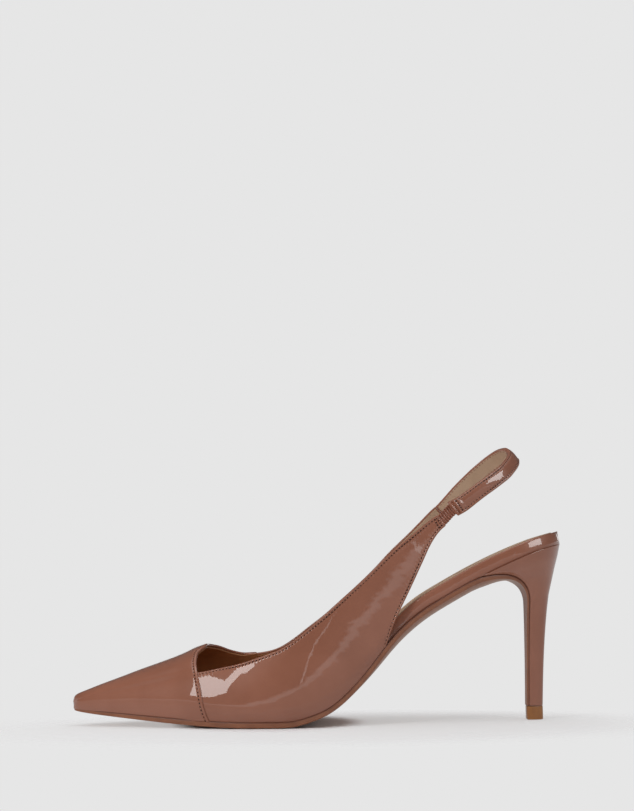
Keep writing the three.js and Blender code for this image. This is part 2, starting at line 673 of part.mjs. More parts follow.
// Outsole's path in side view: the feather line as far as the heel, then down its breast.
function soleStations() {
  const stations = [];
  for (let i = 0; i <= SOLE_STEPS; i += 1) {
    const s = wedgeStart * (i / SOLE_STEPS) ** 1.25;
    const waist = ease((s / LENGTH - 0.44) / 0.14);
    const full = mix(SOLE_TIP, SOLE_EDGE, Math.sqrt(Math.min(1, s / SOLE_THINNED)));
    const slope = featherSlope(s);
    stations.push({
      at: new THREE.Vector2(s, feather(s)),
      normal: new THREE.Vector2(slope, -1).normalize(),
      lateral: outline(s, "lateral"),
      medial: outline(s, "medial"),
      edge: mix(full, WAIST_EDGE, waist),
      crown: WAIST_CROWN * ease((s / LENGTH - 0.5) / 0.18),
      bevel: Math.min(EDGE_BEVEL, outline(s, "lateral") / 3),
    });
  }
  for (let i = 0; i <= BREAST_STEPS; i += 1) {
    const down = i / BREAST_STEPS;
    const at = breastPoint(down);
    const ahead = breastPoint(Math.min(1, down + 0.01));
    const behind = breastPoint(Math.max(0, down - 0.01));
    const thin = ease(down / KNEE_SHARE);
    const tangent = ahead.clone().sub(behind).normalize();
    stations.push({
      at,
      normal: new THREE.Vector2(tangent.y, -tangent.x),
      lateral: heelWidth(down, 0, "lateral"),
      medial: heelWidth(down, 0, "medial"),
      edge: mix(WAIST_EDGE, FLAP_THICKNESS, thin),
      crown: WAIST_CROWN * (1 - ease(down / (0.65 * KNEE_SHARE))),
      bevel: mix(EDGE_BEVEL, FLAP_THICKNESS / 4, thin),
    });
  }
  return stations;
}

function outsoleGeometry() {
  return loft(
    soleStations().map((station) =>
      soleRing({ ...station, at: station.at.clone().addScaledVector(station.normal, GAP) }),
    ),
  );
}

// Half width of the insole: inside the upper's wall in the forepart, and out to the edge of
// the sole where it shows as the wrapped footbed.
const insoleStart = NOSE_RADIUS + UPPER_WALL;
const randInset = (s) =>
  mix(UPPER_WALL + FEATHER_INSET + GAP, FEATHER_INSET, ease((s / LENGTH - 0.685) / 0.08));
const insoleHalf = (s, column, inset) => {
  const front = round(s - insoleStart - inset, NOSE_RADIUS);
  const back = round(LENGTH - s - inset, SEAT_WIDTH / 2);
  return Math.max(0, bluntWidth(s, column) - randInset(s) - inset) * front * back;
};
const insoleDepth = (s) =>
  mix(INSOLE_FOREPART, INSOLE_SEAT, ease((s / LENGTH - 0.5) / 0.24));

// A sheet along the insole, from one depth above the feather line to another.
function footbed(inset, lift, depthOf, bevel) {
  const first = insoleStart + inset;
  const last = LENGTH - inset;
  const rings = [];
  for (let i = 0; i <= INSOLE_STEPS; i += 1) {
    const turn = (1 - Math.cos((i / INSOLE_STEPS) * Math.PI)) / 2;
    const s = mix(first, last, mix(i / INSOLE_STEPS, turn, 0.75));
    const normal = new THREE.Vector2(-featherSlope(s), 1).normalize();
    const lateral = insoleHalf(s, "lateral", inset);
    rings.push(
      soleRing({
        at: new THREE.Vector2(s, feather(s)).addScaledVector(normal, lift(s)),
        normal,
        lateral,
        medial: insoleHalf(s, "medial", inset),
        edge: depthOf(s),
        crown: 0,
        bevel: Math.min(bevel, lateral / 3),
      }),
    );
  }
  return loft(rings);
}

// Band with a centre line, a width direction at each point and a thickness.
function bandGeometry(stations) {
  const rings = stations.map(({ at, across, outward, width, thickness }) => {
    const corner = (w, t) =>
      at.clone().addScaledVector(across, (w * width) / 2).addScaledVector(outward, (t * thickness) / 2);
    return [
      corner(-0.88, 1),
      corner(0.88, 1),
      corner(1, 0.5),
      corner(1, -0.5),
      corner(0.88, -1),
      corner(-0.88, -1),
      corner(-1, -0.5),
      corner(-1, 0.5),
    ];
  });
  return loft(rings);
}

// Middle of the end of a quarter's wall, the direction of its end line and the way on from it.
function quarterEnd(pattern) {
  const upper = formAt(pattern, pattern.upperCorner);
  const lower = formAt(pattern, pattern.lowerCorner);
  const across = upper.clone().sub(lower).normalize();
  const middle = upper.clone().add(lower).multiplyScalar(0.5);
  middle.y -= (pattern.side * UPPER_WALL) / 2;
  const ahead = new THREE.Vector3(across.z, 0, -across.x).normalize();
  return { middle, across, ahead };
}
function formAt(pattern, corner) {
  return formPoint(corner.x, pattern, (corner.y - feather(corner.x)) / formHeight(corner.x));
}

const outer = cutPattern(OUTER);
const inner = cutPattern(INNER);
const outerEnd = quarterEnd(outer);
const innerEnd = quarterEnd(inner);

function goreStations() {
  const steps = GORE_PLEATS * PLEAT_STEPS;
  const outward = new THREE.Vector3().crossVectors(outerEnd.across, outerEnd.ahead).normalize();
  return Array.from({ length: steps + 1 }, (_, i) => ({
    at: outerEnd.middle.clone().addScaledVector(outerEnd.ahead, GAP + (GORE_LENGTH * i) / steps),
    across: outerEnd.across,
    outward,
    width: GORE_WIDTH,
    thickness: GORE_THICKNESS - PLEAT_DEPTH * (1 + Math.cos((i / PLEAT_STEPS) * 2 * Math.PI)),
  }));
}

function strapStations() {
  const start = outerEnd.middle.clone().addScaledVector(outerEnd.ahead, GORE_LENGTH + 2 * GAP);
  start.addScaledVector(outerEnd.across, STRAP_STEP);
  const finish = innerEnd.middle.clone().addScaledVector(innerEnd.ahead, GAP);
  const points = STRAP.map(({ reach, out, rise }, i) => {
    const base = start.clone().lerp(finish, (i + 1) / (STRAP.length + 1));
    const middle = (start.y + finish.y) / 2;
    const spread = (finish.y - start.y) / 2;
    return new THREE.Vector3(
      base.x + STRAP_REACH * reach,
      middle + spread * out,
      base.z + STRAP_RISE * rise,
    );
  });
  const curve = new THREE.CatmullRomCurve3([start, ...points, finish], false, "catmullrom", 0.5);
  const leanRows = [
    { row: 0, lean: 39 },
    ...STRAP.map(({ lean }, i) => ({ row: i + 1, lean })),
    { row: STRAP.length + 1, lean: 45 },
  ];
  const leanAt = smooth(leanRows, "row", "lean");
  return Array.from({ length: STRAP_STEPS + 1 }, (_, i) => {
    const t = i / STRAP_STEPS;
    const tangent = curve.getTangent(t);
    if (i === 0) tangent.copy(outerEnd.ahead);
    if (i === STRAP_STEPS) tangent.copy(innerEnd.ahead).negate();
    const lean = THREE.MathUtils.degToRad(leanAt(t * (STRAP.length + 1)));
    const across = new THREE.Vector3(-Math.sin(lean), 0, Math.cos(lean));
    if (i === STRAP_STEPS) across.copy(innerEnd.across);
    const outward = new THREE.Vector3().crossVectors(across, tangent).normalize();
    const inner = ease((t - 0.45) / 0.17) * (1 - ease((t - 0.9) / 0.1));
    const outerWidth = mix(STRAP_END_WIDTH, STRAP_WIDTH, ease(t / 0.12));
    const width = mix(outerWidth, STRAP_INNER_WIDTH, inner);
    return { at: curve.getPoint(t), across, outward, width, thickness: STRAP_THICKNESS };
  });
}

// Top piece: a flat-fronted oval under the stem and the flap of the sole.
function topPieceGeometry() {
  const back = LENGTH - TIP_SETBACK;
  const front = back - TIP_LENGTH;
  const ring = (z) => {
    const half = (side) =>
      Array.from({ length: HEEL_AROUND + 1 }, (_, i) => {
        const share = Math.sin((i / HEEL_AROUND) * (Math.PI / 2));
        const width = (TIP_WIDTH / 2) * (1 - share ** 2.4) ** (1 / 2.4);
        return place(mix(front, back, share), side * width, z);
      });
    return [...half(-1), ...half(1).reverse()];
  };
  return loft([ring(0), ring(TIP_HEIGHT)]);
}

const lining = { inner: -UPPER_WALL, outer: TOE_PIECE_PROUD - TOE_PIECE_WALL - GAP };
const leather = { inner: -UPPER_WALL, outer: 0 };
const overlay = { inner: TOE_PIECE_PROUD - TOE_PIECE_WALL, outer: TOE_PIECE_PROUD };

const upperGeometry = wall([
  { grid: toeGrid(outer, lining), side: outer.side },
  { grid: toeGrid(inner, lining), side: inner.side },
  { grid: quarterGrid(outer, lining, leather), side: outer.side },
  { grid: quarterGrid(inner, lining, leather), side: inner.side },
]);
const toePieceGeometry = wall([
  { grid: toeGrid(outer, overlay), side: outer.side },
  { grid: toeGrid(inner, overlay), side: inner.side },
]);
const heelRows = Array.from({ length: HEEL_ROWS + 1 }, (_, i) => heelRing(i / HEEL_ROWS));
const sockLift = (s) => insoleDepth(s) + GAP;
const sockGeometry = footbed(SOCK_INSET, sockLift, () => SOCK_THICKNESS, 0.2);

const patent = { color: 0x87543f, roughness: 0.12, metalness: 0 };
const soleLeather = { color: 0x7b4e38, roughness: 0.45, metalness: 0 };
const topPieceRubber = { color: 0x8a5626, roughness: 0.5, metalness: 0 };
const liningLeather = { color: 0xa3846a, roughness: 0.7, metalness: 0 };
const elastic = { color: 0x7c4733, roughness: 0.3, metalness: 0 };
const pieces = [
  ["outsole", outsoleGeometry(), soleLeather],
  ["heel", loft(heelRows), patent],
  ["top_piece", topPieceGeometry(), topPieceRubber],
  ["insole", footbed(0, () => 0, insoleDepth, 0.8), patent],
  ["sock_lining", sockGeometry, liningLeather],
  ["upper", upperGeometry, patent],
  ["toe_piece", toePieceGeometry, patent],
  ["elastic_gore", bandGeometry(goreStations()), elastic],
  ["sling_strap", bandGeometry(strapStations()), patent],
];

const shoe = new THREE.Group();
for (const [name, geometry, finish] of pieces) {
  const mesh = new THREE.Mesh(geometry, new THREE.MeshStandardMaterial(finish));
  mesh.name = name;
  shoe.add(mesh);
}

export default shoe;
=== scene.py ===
"""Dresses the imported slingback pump: fine patent leather, lining, stitches, sole and heel.

Shapes are worked out in millimetres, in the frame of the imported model: the toe points along -X,
the outer side of the foot faces -Y, and the shoe stands on Z = 0. Places along the shoe are
given as s, the distance behind the tip of the toe.
"""

import math

import bpy
import numpy as np
from mathutils import Matrix, Vector


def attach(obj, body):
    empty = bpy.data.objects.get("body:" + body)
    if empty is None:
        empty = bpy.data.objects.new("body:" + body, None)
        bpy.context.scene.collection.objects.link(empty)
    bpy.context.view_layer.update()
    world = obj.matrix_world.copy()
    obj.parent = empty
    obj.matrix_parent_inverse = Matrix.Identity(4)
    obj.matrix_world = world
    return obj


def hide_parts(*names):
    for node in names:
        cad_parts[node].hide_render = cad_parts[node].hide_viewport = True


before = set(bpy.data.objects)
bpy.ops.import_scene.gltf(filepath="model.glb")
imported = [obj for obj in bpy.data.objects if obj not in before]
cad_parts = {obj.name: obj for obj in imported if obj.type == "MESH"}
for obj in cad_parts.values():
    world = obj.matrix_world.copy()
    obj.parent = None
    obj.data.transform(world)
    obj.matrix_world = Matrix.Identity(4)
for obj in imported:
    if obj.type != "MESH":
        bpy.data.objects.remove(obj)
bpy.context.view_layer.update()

# Camera, at the photograph's viewing angle: place in metres, lens and sensor in millimetres.
CAMERA_AT = (0.00118, -0.8, 0.06486)
CAMERA_LENS = 70.55
CAMERA_SENSOR = 36
CAMERA_TILT = math.radians(6.6216)
CAMERA_ROLL = math.radians(0.7668)

# Sizes of the last, in millimetres.
LENGTH = 242.7  # tip of the toe to the back of the seat
BALL_WIDTH = 71  # outsole across the ball
SEAT_WIDTH = 49  # across the seat
SEAT_RISE = 83.7  # back of the seat above the flat of the forepart
TOE_SPRING = 5.9  # lift of the sole at the tip
NOSE_RADIUS = 5.2  # rounding of the toe, seen from above
NOSE_POWER = 2.6  # fullness of that rounding
THROAT_HEIGHT = 35.1  # ridge of the upper above the feather line, at the throat
QUARTER_HEIGHT = 46.6  # highest part of the topline above the feather line
BODY_BULGE = 3  # how far the ball of the upper stands out past the feather line
TUCK_HEIGHT = 11  # height over which the toe's wall turns in to the feather line
TUCK_SHARE = 0.6  # most that the turn takes of the upper's height
ARCH_TOP = 2.1  # powers of the upper's section, towards its ridge and towards its sides
ARCH_SIDE = 2.3

# Sizes of the pieces.
SOLE_GAP = 0.3  # between pieces that touch
SOLE_EDGE = 2.3  # outsole in the forepart
SOLE_TIP = 0.7  # thinned under the tip of the toe
SOLE_THINNED = 75  # run from there to the full edge
WAIST_EDGE = 2  # outsole's edge at the waist
WAIST_CROWN = 2.6  # rounded underside of the waist, beyond its edge
FLAP_THICKNESS = 0.6  # outsole where it runs down the heel breast
CREASE_SHARE = 0.12  # inked upper part of the sole's edge, whose dark tone also paints the shade of the crease under the upper
FEATHER_INSET = 0.4  # upper inside the sole's edge
UPPER_WALL = 1.7  # patent leather and its lining
TOE_PIECE_PROUD = 0.6  # step from the toe piece down to the quarters
TOE_PIECE_LENGTH = 66.4  # tip of the toe to the throat
BACK_CORNER = 0.635  # where the quarters leave the sole, on the length
CORNER_SHARE = 0.58  # share of a quarter's columns that stand on the sole
INSOLE_FOREPART = 2  # insole board inside the upper
INSOLE_SEAT = 6.3  # wrapped footbed at the waist and the seat
INSOLE_SETBACK = 4.5  # front of the insole behind the tip of the toe, beside the wall
INSOLE_ROLL = (1.2, 4.6)  # rounding of its upper edge, across and down
BOARD_SINK = 0.05  # footbed into the sole, and sock into the footbed
SOCK_THICKNESS = 0.35
SOCK_MARGIN = 2.6  # sock inside the edge of the footbed
SOCK_ROLL = (0.3, 0.3)
SEAT_TILT = 0.02  # how much lower the footbed's inner edge is, for each millimetre across
STRAP_WIDTH = 7.7
STRAP_INNER_WIDTH = 9.2  # wider on the inner side of the foot
STRAP_END_WIDTH = 8.4  # doubled end, sewn over the elastic
STRAP_STEP = 0.8  # that end stands this much further up than the elastic
STRAP_THICKNESS = 1.6
STRAP_CROWN = 0.8  # rounding of its face
STRAP_ROLL = 0.62  # rounding of its edges
STRAP_REACH = 34.4  # how far the strap runs back past the quarters
STRAP_RISE = 28.4  # how far it climbs
STRAP_SMOOTHINGS = 14  # passes that even out its middle line
STRAP_END_LEANS = (39, 45)  # lean of its face at the elastic and at the inner quarter
DOUBLED_RUN = 4.6  # length of the doubled end
DOUBLED_FACE = 0.35  # how much thicker it is in front and at the back
DOUBLED_BACK = 0.15
GORE_LENGTH = 7
GORE_TUCKED = (1.2, 1.6)  # elastic inside the quarter and under the strap
GORE_WIDTH = 6.2
GORE_THICKNESS = 2
GORE_PLEATS = 5.5

# Sizes of the heel.
TIP_HEIGHT = 6.5  # top piece
TIP_LENGTH = 8
TIP_WIDTH = 8.2
TIP_SETBACK = 10.6  # back of the tip, ahead of the back of the seat
TIP_ROLL = 0.35  # rounding of its edges
BREAST_SETBACK = 16.9  # front of the stem at the knee, ahead of the back of the seat
KNEE_HEIGHT = 57  # where the breast turns forward
KNEE_SHARE = 0.46  # share of the heel's rows above it
KNEE_ROW_RISE = 4  # how much higher that row is at the back
STEM_LEAN = 1.05  # how far the front of the stem leans from the knee to its foot
KNEE_REACH = 17.5  # upright handle of that turn
WEDGE_RUN = 47.3  # front of the heel, ahead of the back of the seat
WEDGE_REACH = 11  # handle of the turn along the sole
WEDGE_TIP = 0.14  # place on the turn where the heel starts
HEEL_UNDER = 0.1  # heel below the feather line
STEM_OVERLAP = 0.2  # back of the stem's foot below its front
D_POWER = 2.4  # roundness of the D-shaped stem and top piece

# Leathers: offsets from the form's face, negative inwards, walls and rounded edges.
PATENT_INSIDE = -1.35
LINING_INSIDE = -1.62
LINING_OVERLAP = 0.1  # lining into the patent leather
LINING_INSET = 0.95  # lining inside a folded edge
LINING_ROLL = 0.2
TOE_LINING_OUTSIDE = -0.6
STRAP_LINING_OUTSIDE = -0.6  # within the strap
TOE_LINING_SINK = 0.05  # how much deeper its face is at the ridge
TOE_LINING_THICKER = 0.04  # than the quarters' lining, so that they don't meet face to face
TOE_WALL = 0.55  # toe piece over the quarters
TOE_RIDGE_WALL = 1.3  # toe piece with its folded edge, at the throat
FOOT_DROP = 0.28  # foot of the upper below the feather line
STRAP_LINING_DEPTH = 0.22  # how far it stands out behind the strap
STRAP_LINING_ROLL = 0.15

# Finish of the edges and stitches.
EDGE_ROLL = 0.55  # rounding of the patent leather's edges
STITCH_INSET = 1.25  # row of stitches from the edge
TOE_STITCH_INSET = 1.56  # and on the toe piece
STITCH_PITCH = 1.8
STITCH_GROOVE = 0.15  # depth to which a row pulls the leather in
STITCH_MARGIN = 0.16  # height of the puffed margin beside it
PUCKER = 0.05  # height of the pucker from hole to hole
TACK_ROWS = (1.3, 3.1)  # rows across the end of a quarter, from its edge
STRAP_TACK_ROW = 3.6  # row across the doubled end of the strap
TACK_PITCH = 1.3
THREAD_SIZE = (0.46, 0.22, 0.17)  # half axes of a stitch: along, across and up
THREAD_LIFT = 0.02
HOLE_SIZE = (0.55, 0.46, 0.14)  # half axes of the dark oval of painted shade at a needle hole
OVAL_RINGS = 7
OVAL_POINTS = 8
TROUGH_DEPTH = 0.7  # hollow in the toe piece's wall
TROUGH_AT = 18  # its middle, ahead of the rear edge
TROUGH_BACK = 10  # its half widths behind and ahead of that
TROUGH_FRONT = 45

# Lines of the grids: distances from a free edge in the patent and in the linings, columns and
# middle rows of the quarters with the shifts of the columns that lap under the toe piece, and
# rows of the toe from the feather line to the notch and on to the ridge.
EDGE_STEPS = np.array([
    0, 0.06, 0.14, 0.24, 0.36, 0.5, 0.66, 0.82, 0.96, 1.08, 1.18, 1.25, 1.32, 1.42, 1.56, 1.76,
    2.05, 2.5,
])
STITCH_STEP = np.searchsorted(EDGE_STEPS, STITCH_INSET)
TOE_STITCH_STEP = np.searchsorted(EDGE_STEPS, TOE_STITCH_INSET)
LINING_STEPS = np.array([0, 0.08, 0.2, 0.4, 1.0])
STRAP_LINING_SHARES = np.array(
    [-1, -0.985, -0.95, -0.9, -0.6, -0.3, 0, 0.3, 0.6, 0.9, 0.95, 0.985, 1]
)
QUARTER_GRID = (420, 26)
QUARTER_LAPS = np.array([-6.0, -3.0])
QUARTER_LINING_GRID = (170, 24)
QUARTER_LINING_LAPS = np.array([-4.0, -2.0])
TOE_COLUMNS = 150
TOE_LINING_COLUMNS = 70
WALL_ROWS = 26
THROAT_ROWS = 24
STRAP_ROWS = 460
FOOTBED_ROWS = 300
SOCK_ROWS = 260
LOWER_EDGE_RUN = 160  # lower edge of a quarter, roughly, for each unit of its grid

# Lift of the feather line: shares of the toe spring and of the rise to the seat, on the length.
TOE_LIFT = [
    (0, 1), (0.039, 0.83), (0.101, 0.627), (0.163, 0.424), (0.2246, 0.237),
    (0.2864, 0.093), (0.3276, 0.025), (0.3605, 0), (0.4347, 0),
]
SEAT_LIFT = [
    (0.3605, 0), (0.4347, 0), (0.4553, 0.0066), (0.4771, 0.0243), (0.5056, 0.0514),
    (0.5303, 0.092), (0.555, 0.151), (0.5801, 0.2234), (0.609, 0.3214), (0.6386, 0.4307),
    (0.6675, 0.5185), (0.7136, 0.6225), (0.7594, 0.7013), (0.8051, 0.7742), (0.8508, 0.8411),
    (0.8966, 0.9008), (0.9431, 0.9546), (1, 1),
]
# Half widths of the sole: place on the length, outer and inner shares of half the ball width,
# and share of half the seat width.
OUTLINE = [
    (0, 0.1, 0.1, 0), (0.0616, 0.285, 0.3, 0), (0.1232, 0.46, 0.487, 0),
    (0.2053, 0.676, 0.714, 0), (0.2875, 0.857, 0.888, 0), (0.3614, 0.968, 0.985, 0),
    (0.4271, 1, 0.96, 0), (0.4928, 0.95, 0.855, 0), (0.5626, 0.75, 0.62, 0.14),
    (0.6448, 0.45, 0.33, 0.41), (0.7187, 0.2, 0.115, 0.68), (0.809, 0.045, 0.005, 0.9),
    (0.9, 0, 0, 1), (1, 0, 0, 1),
]
# Form of the upper: place on the length, ridge as a share of the throat height, bulge of the
# outer and the inner side, fullness of the arch and share of the tuck height.
FORM = [
    (0, 0.1, 0.1, 0.1, 1.5, 1), (0.0021, 0.152, 0.12, 0.12, 1.5, 1),
    (0.007, 0.185, 0.2, 0.2, 1.5, 1), (0.014, 0.212, 0.3, 0.3, 1.5, 1),
    (0.0313, 0.27, 0.42, 0.42, 1.5, 1), (0.0519, 0.339, 0.5, 0.5, 1.5, 1),
    (0.0927, 0.46, 0.6, 0.6, 1.4, 1), (0.1339, 0.588, 0.68, 0.68, 1.3, 1),
    (0.1747, 0.706, 0.74, 0.76, 1.25, 1), (0.2159, 0.829, 0.78, 0.82, 1.2, 1),
    (0.2365, 0.898, 0.78, 0.84, 1.18, 0.95), (0.2571, 0.982, 0.78, 0.85, 1.16, 0.9),
    (0.2674, 0.994, 0.78, 0.86, 1.15, 0.87), (0.2736, 1, 0.79, 0.87, 1.14, 0.85),
    (0.308, 1.11, 0.84, 0.9, 1.08, 0.75), (0.345, 1.33, 0.9, 0.94, 1.03, 0.68),
    (0.4107, 1.77, 0.93, 1.05, 1, 0.65), (0.4928, 2.37, 0.9, 1.2, 1, 0.7),
    (0.575, 2.84, 0.66, 1.3, 1, 0.8), (0.657, 3.11, 0.52, 1.45, 1, 0.8),
    (0.76, 3.82, 0.6, 1.3, 1, 0.8), (0.82, 4.28, 0.6, 1, 1, 0.8),
]
# Rear edge of a quarter, from the sole up: share of its height and of its run back.
QUARTER_BACK = [
    (0, 0), (0.179, 0.129), (0.511, 0.44), (0.71, 0.625), (0.846, 0.753), (0.957, 0.905), (1, 1),
]
# Toplines: place on the length and height above the feather line as a share of QUARTER_HEIGHT.
OUTER_TOPLINE = [
    (0.2597, 0.486), (0.3014, 0.543), (0.3526, 0.608), (0.3776, 0.653), (0.403, 0.697),
    (0.424, 0.735), (0.4438, 0.793), (0.4639, 0.85), (0.4838, 0.902), (0.5041, 0.948),
    (0.524, 0.981), (0.5444, 0.998), (0.5644, 0.996), (0.5848, 0.975), (0.6049, 0.95),
    (0.6253, 0.917), (0.6459, 0.891), (0.6665, 0.876), (0.6878, 0.863), (0.7037, 0.87),
    (0.7164, 0.879), (0.7419, 0.895),
]
INNER_TOPLINE = [
    (0.3682, 0.654), (0.3954, 0.675), (0.4181, 0.712), (0.4397, 0.778), (0.4609, 0.841),
    (0.5037, 0.939), (0.5472, 0.987), (0.5899, 0.959), (0.6333, 0.898), (0.6763, 0.887),
    (0.7199, 0.937), (0.7521, 1.01),
]
# Strap's middle line from the outer to the inner quarter: shares of its reach behind the quarters,
# of half the distance between them and of its rise, and the lean of its face in degrees.
STRAP = [
    (0.164, -0.97, 0.104, 35), (0.426, -0.89, 0.327, 34), (0.598, -0.8, 0.465, 37),
    (0.782, -0.61, 0.622, 43), (0.88, -0.41, 0.731, 45), (0.963, -0.17, 0.841, 48),
    (0.998, 0.03, 0.917, 47), (1, 0.2, 0.975, 48), (0.975, 0.42, 1.005, 48),
    (0.89, 0.75, 0.98, 46), (0.744, 0.94, 0.857, 44), (0.58, 1.01, 0.69, 44),
    (0.407, 1.02, 0.49, 44), (0.22, 1.01, 0.262, 44),
]
# Heel at a share of the way down from its seat: how much wider than its tip it is, as a share of
# the difference at the seat, and how far its back has moved in, as a share of TIP_SETBACK.
FLARE = [
    (0, 1), (0.1, 0.9), (0.2, 0.73), (0.3, 0.51), (0.4, 0.31), (0.5, 0.17), (0.65, 0.07),
    (0.8, 0.02), (1, 0),
]
HEEL_BACK = [
    (0, 0.01), (0.1, 0.121), (0.2, 0.262), (0.3, 0.386), (0.4, 0.51), (0.46, 0.581),
    (0.54, 0.686), (0.7, 0.838), (0.85, 0.933), (1, 1),
]
# Soft folds of the quarters, in millimetres: place and height of each end, depth and half width.
FOLDS = [
    (103, 62, 84, 22, 0.3, 5),
    (96, 52, 78, 14, -0.25, 6),
    (122, 66, 100, 26, 0.3, 6),
    (150, 96, 118, 40, 0.35, 9),
    (86, 34, 74, 12, 0.25, 4),
]

# Colours as display values, and where along the shoe, in metres, the lining's painted shade inside
# the toe gives way to its pale tone.
BROWN = (154, 98, 75)
BROWN_DARK = (145, 90, 67)
LINING_DARK = (176, 146, 120)
LINING_LIGHT = (188, 158, 132)
# The lining again, painted darker as shade inside the toe.
LINING_SHADED_DARK = (150, 98, 58)
LINING_SHADED_LIGHT = (164, 110, 68)
SHADE_UP_TO = -0.03
PALE_FROM = 0.03
BACKDROP = (230, 230, 230)
FLOOR_TONE = (0.88, 0.875, 0.88, 1)

# Studio, in metres. Greys of the mirrored room and of the glow on matte surfaces, over the height
# of a direction from 0 straight down to 1 straight up.
ROOM = [
    (0.0, 0.6), (0.5, 0.5), (0.54, 0.5), (0.545, 1.3), (0.556, 1.3), (0.566, 0.15), (0.62, 0.09),
    (0.9, 0.09), (0.955, 0.8), (1.0, 1.1),
]
GLOW = [(0.0, 0.7), (0.495, 0.7), (0.505, 0.45), (1.0, 0.45)]
# Ellipses on the floor: centre, half axes, the shares of them between which they fade, and the
# value past them. The first is the floor's own edge, and the second keeps the floor full under
# the forepart, where the shadow is deepest.
FLOOR_FADE = ((0, -0.025, 0), (0.2, 0.11), (0.55, 1.0), 0.0)
CONTACT_FADE = ((-0.025, 0, 0), (0.045, 0.05), (0.8, 1.15), 0.5)
FLOOR_HALF = 0.8
FLOOR_DROP = 2e-4
# Places that the lamps are turned to.
MIDDLE = (0, 0, 0)
TOE = (-0.055, -0.028, 0.025)
HEEL = (0.07, 0, 0.08)
WAIST = (-0.01, -0.035, 0.03)


def smooth(rows, column=1):
    """Cubic curve through a table's columns that never overshoots them, level past its ends. A
    row's slope is the weighted harmonic mean of the slopes beside it, or 0 at a turn."""
    table = np.array(rows, float)
    x, y = table[:, 0], table[:, column]
    step = np.diff(x)
    slope = np.diff(y) / step
    tangent = np.concatenate([slope[:1], np.zeros(len(x) - 2), slope[-1:]])
    before = 2 * step[1:] + step[:-1]
    after = step[1:] + 2 * step[:-1]
    same = slope[:-1] * slope[1:] > 0
    safe = [np.where(same, side, 1) for side in (slope[:-1], slope[1:])]
    tangent[1:-1] = np.where(same, (before + after) / (before / safe[0] + after / safe[1]), 0)

    def value(at):
        at = np.clip(at, x[0], x[-1])
        i = np.clip(np.searchsorted(x, at, side="right") - 1, 0, len(step) - 1)
        t = (at - x[i]) / step[i]
        bend = (y[i + 1] - y[i]) * t * t * (3 - 2 * t)
        enter = tangent[i] * t * (1 - t) ** 2
        leave = tangent[i + 1] * t * t * (t - 1)
        return y[i] + bend + step[i] * (enter + leave)

    return value


def softened(rows, column=1, blur=4.0):
    """A table along the length, averaged over a bell that narrows towards both ends."""
    curve = smooth(rows, column)
    s = np.arange(0, LENGTH + 0.05, 0.1)
    width = np.minimum(blur, 0.1 + 0.3 * np.minimum(s, LENGTH - s))
    offsets = np.linspace(-2, 2, 17)
    weights = np.exp(-(offsets**2) / 2)
    total = sum(w * curve((s + width * o) / LENGTH) for o, w in zip(offsets, weights))
    values = total / weights.sum()
    return lambda at: np.interp(at, s, values)


def mix(a, b, t):
    """Value at a share t of the way from a to b."""
    return a + (b - a) * t


def ease(t):
    """Smooth step, three times the square less twice the cube, level outside 0 to 1."""
    k = np.clip(t, 0, 1)
    return k * k * (3 - 2 * k)


def bell(distance, width):
    """e to the minus square of the distance over the width."""
    return np.exp(-((distance / width) ** 2))


def unit(vectors):
    """Vectors divided by their lengths."""
    return vectors / np.maximum(np.linalg.norm(vectors, axis=-1, keepdims=True), 1e-9)


def square_to(vectors, along):
    """Vectors less the part of them that runs along a direction."""
    return vectors - (vectors * along).sum(-1, keepdims=True) * along


def spread(share, halves, inset=0.0):
    """Places across a piece at shares from -1 to 1, each side with its own half width."""
    return np.where(share < 0, share * (halves[-1] - inset), share * (halves[1] - inset))


def rounded(distance, radius):
    """Roundness of an outline's end, which meets the straight without a jump in curvature."""
    left = np.clip(1 - distance / radius, 0, 1)
    return np.sqrt(1 - left**NOSE_POWER)


CENTRE = (LENGTH - TOE_PIECE_PROUD) / 2
toe_lift = softened(TOE_LIFT)
seat_lift = softened(SEAT_LIFT, blur=3)
ball_share = {-1: softened(OUTLINE, 1), 1: softened(OUTLINE, 2)}
seat_share = softened(OUTLINE, 3)
ridge_share = softened(FORM, 1, 3)
bulge_share = {-1: softened(FORM, 2), 1: softened(FORM, 3)}
full_share, tuck_share = softened(FORM, 4), softened(FORM, 5)


def feather(s):
    """Height of the feather line, where the upper meets the sole: toe spring and rise to the seat
    on top of the sole's edge."""
    return SOLE_GAP + SOLE_EDGE + TOE_SPRING * toe_lift(s) + SEAT_RISE * seat_lift(s)


def feather_slope(s):
    """Rise of the feather line for each millimetre back."""
    return feather(s + 0.5) - feather(s - 0.5)


def blunt_width(s, side):
    """Half width of the sole before its ends are rounded."""
    return BALL_WIDTH / 2 * ball_share[side](s) + SEAT_WIDTH / 2 * seat_share(s)


def seat_round(left):
    """Share of the seat's width at a distance from its back, on a circle."""
    back = np.clip(1 - left / (SEAT_WIDTH / 2), 0, 1)
    return np.sqrt(1 - back**2)


def outline(s, side):
    """Half width of the sole, rounded at the toe and at the back of the seat."""
    return blunt_width(s, side) * rounded(s, NOSE_RADIUS) * seat_round(LENGTH - s)


def form_height(s):
    """Height of the upper's ridge above the feather line."""
    return THROAT_HEIGHT * ridge_share(s)


def form_point(s, side, rise):
    """Outer face of the upper: a fuller ellipse whose foot turns in to the feather line."""
    height = form_height(s)
    body = blunt_width(s, side) + BODY_BULGE * bulge_share[side](s)
    foot = blunt_width(s, side) - FEATHER_INSET
    over = (1 - np.clip(rise, 0, 1) ** (ARCH_TOP * full_share(s))) ** (1 / ARCH_SIDE)
    tuck_height = np.minimum(TUCK_HEIGHT * tuck_share(s), TUCK_SHARE * height)
    tuck = (body - foot) * np.maximum(0, 1 - height * rise / tuck_height) ** 2
    y = (body * over - tuck) * rounded(s, NOSE_RADIUS)
    return np.stack([s - CENTRE, side * y, feather(s) + height * rise], -1)


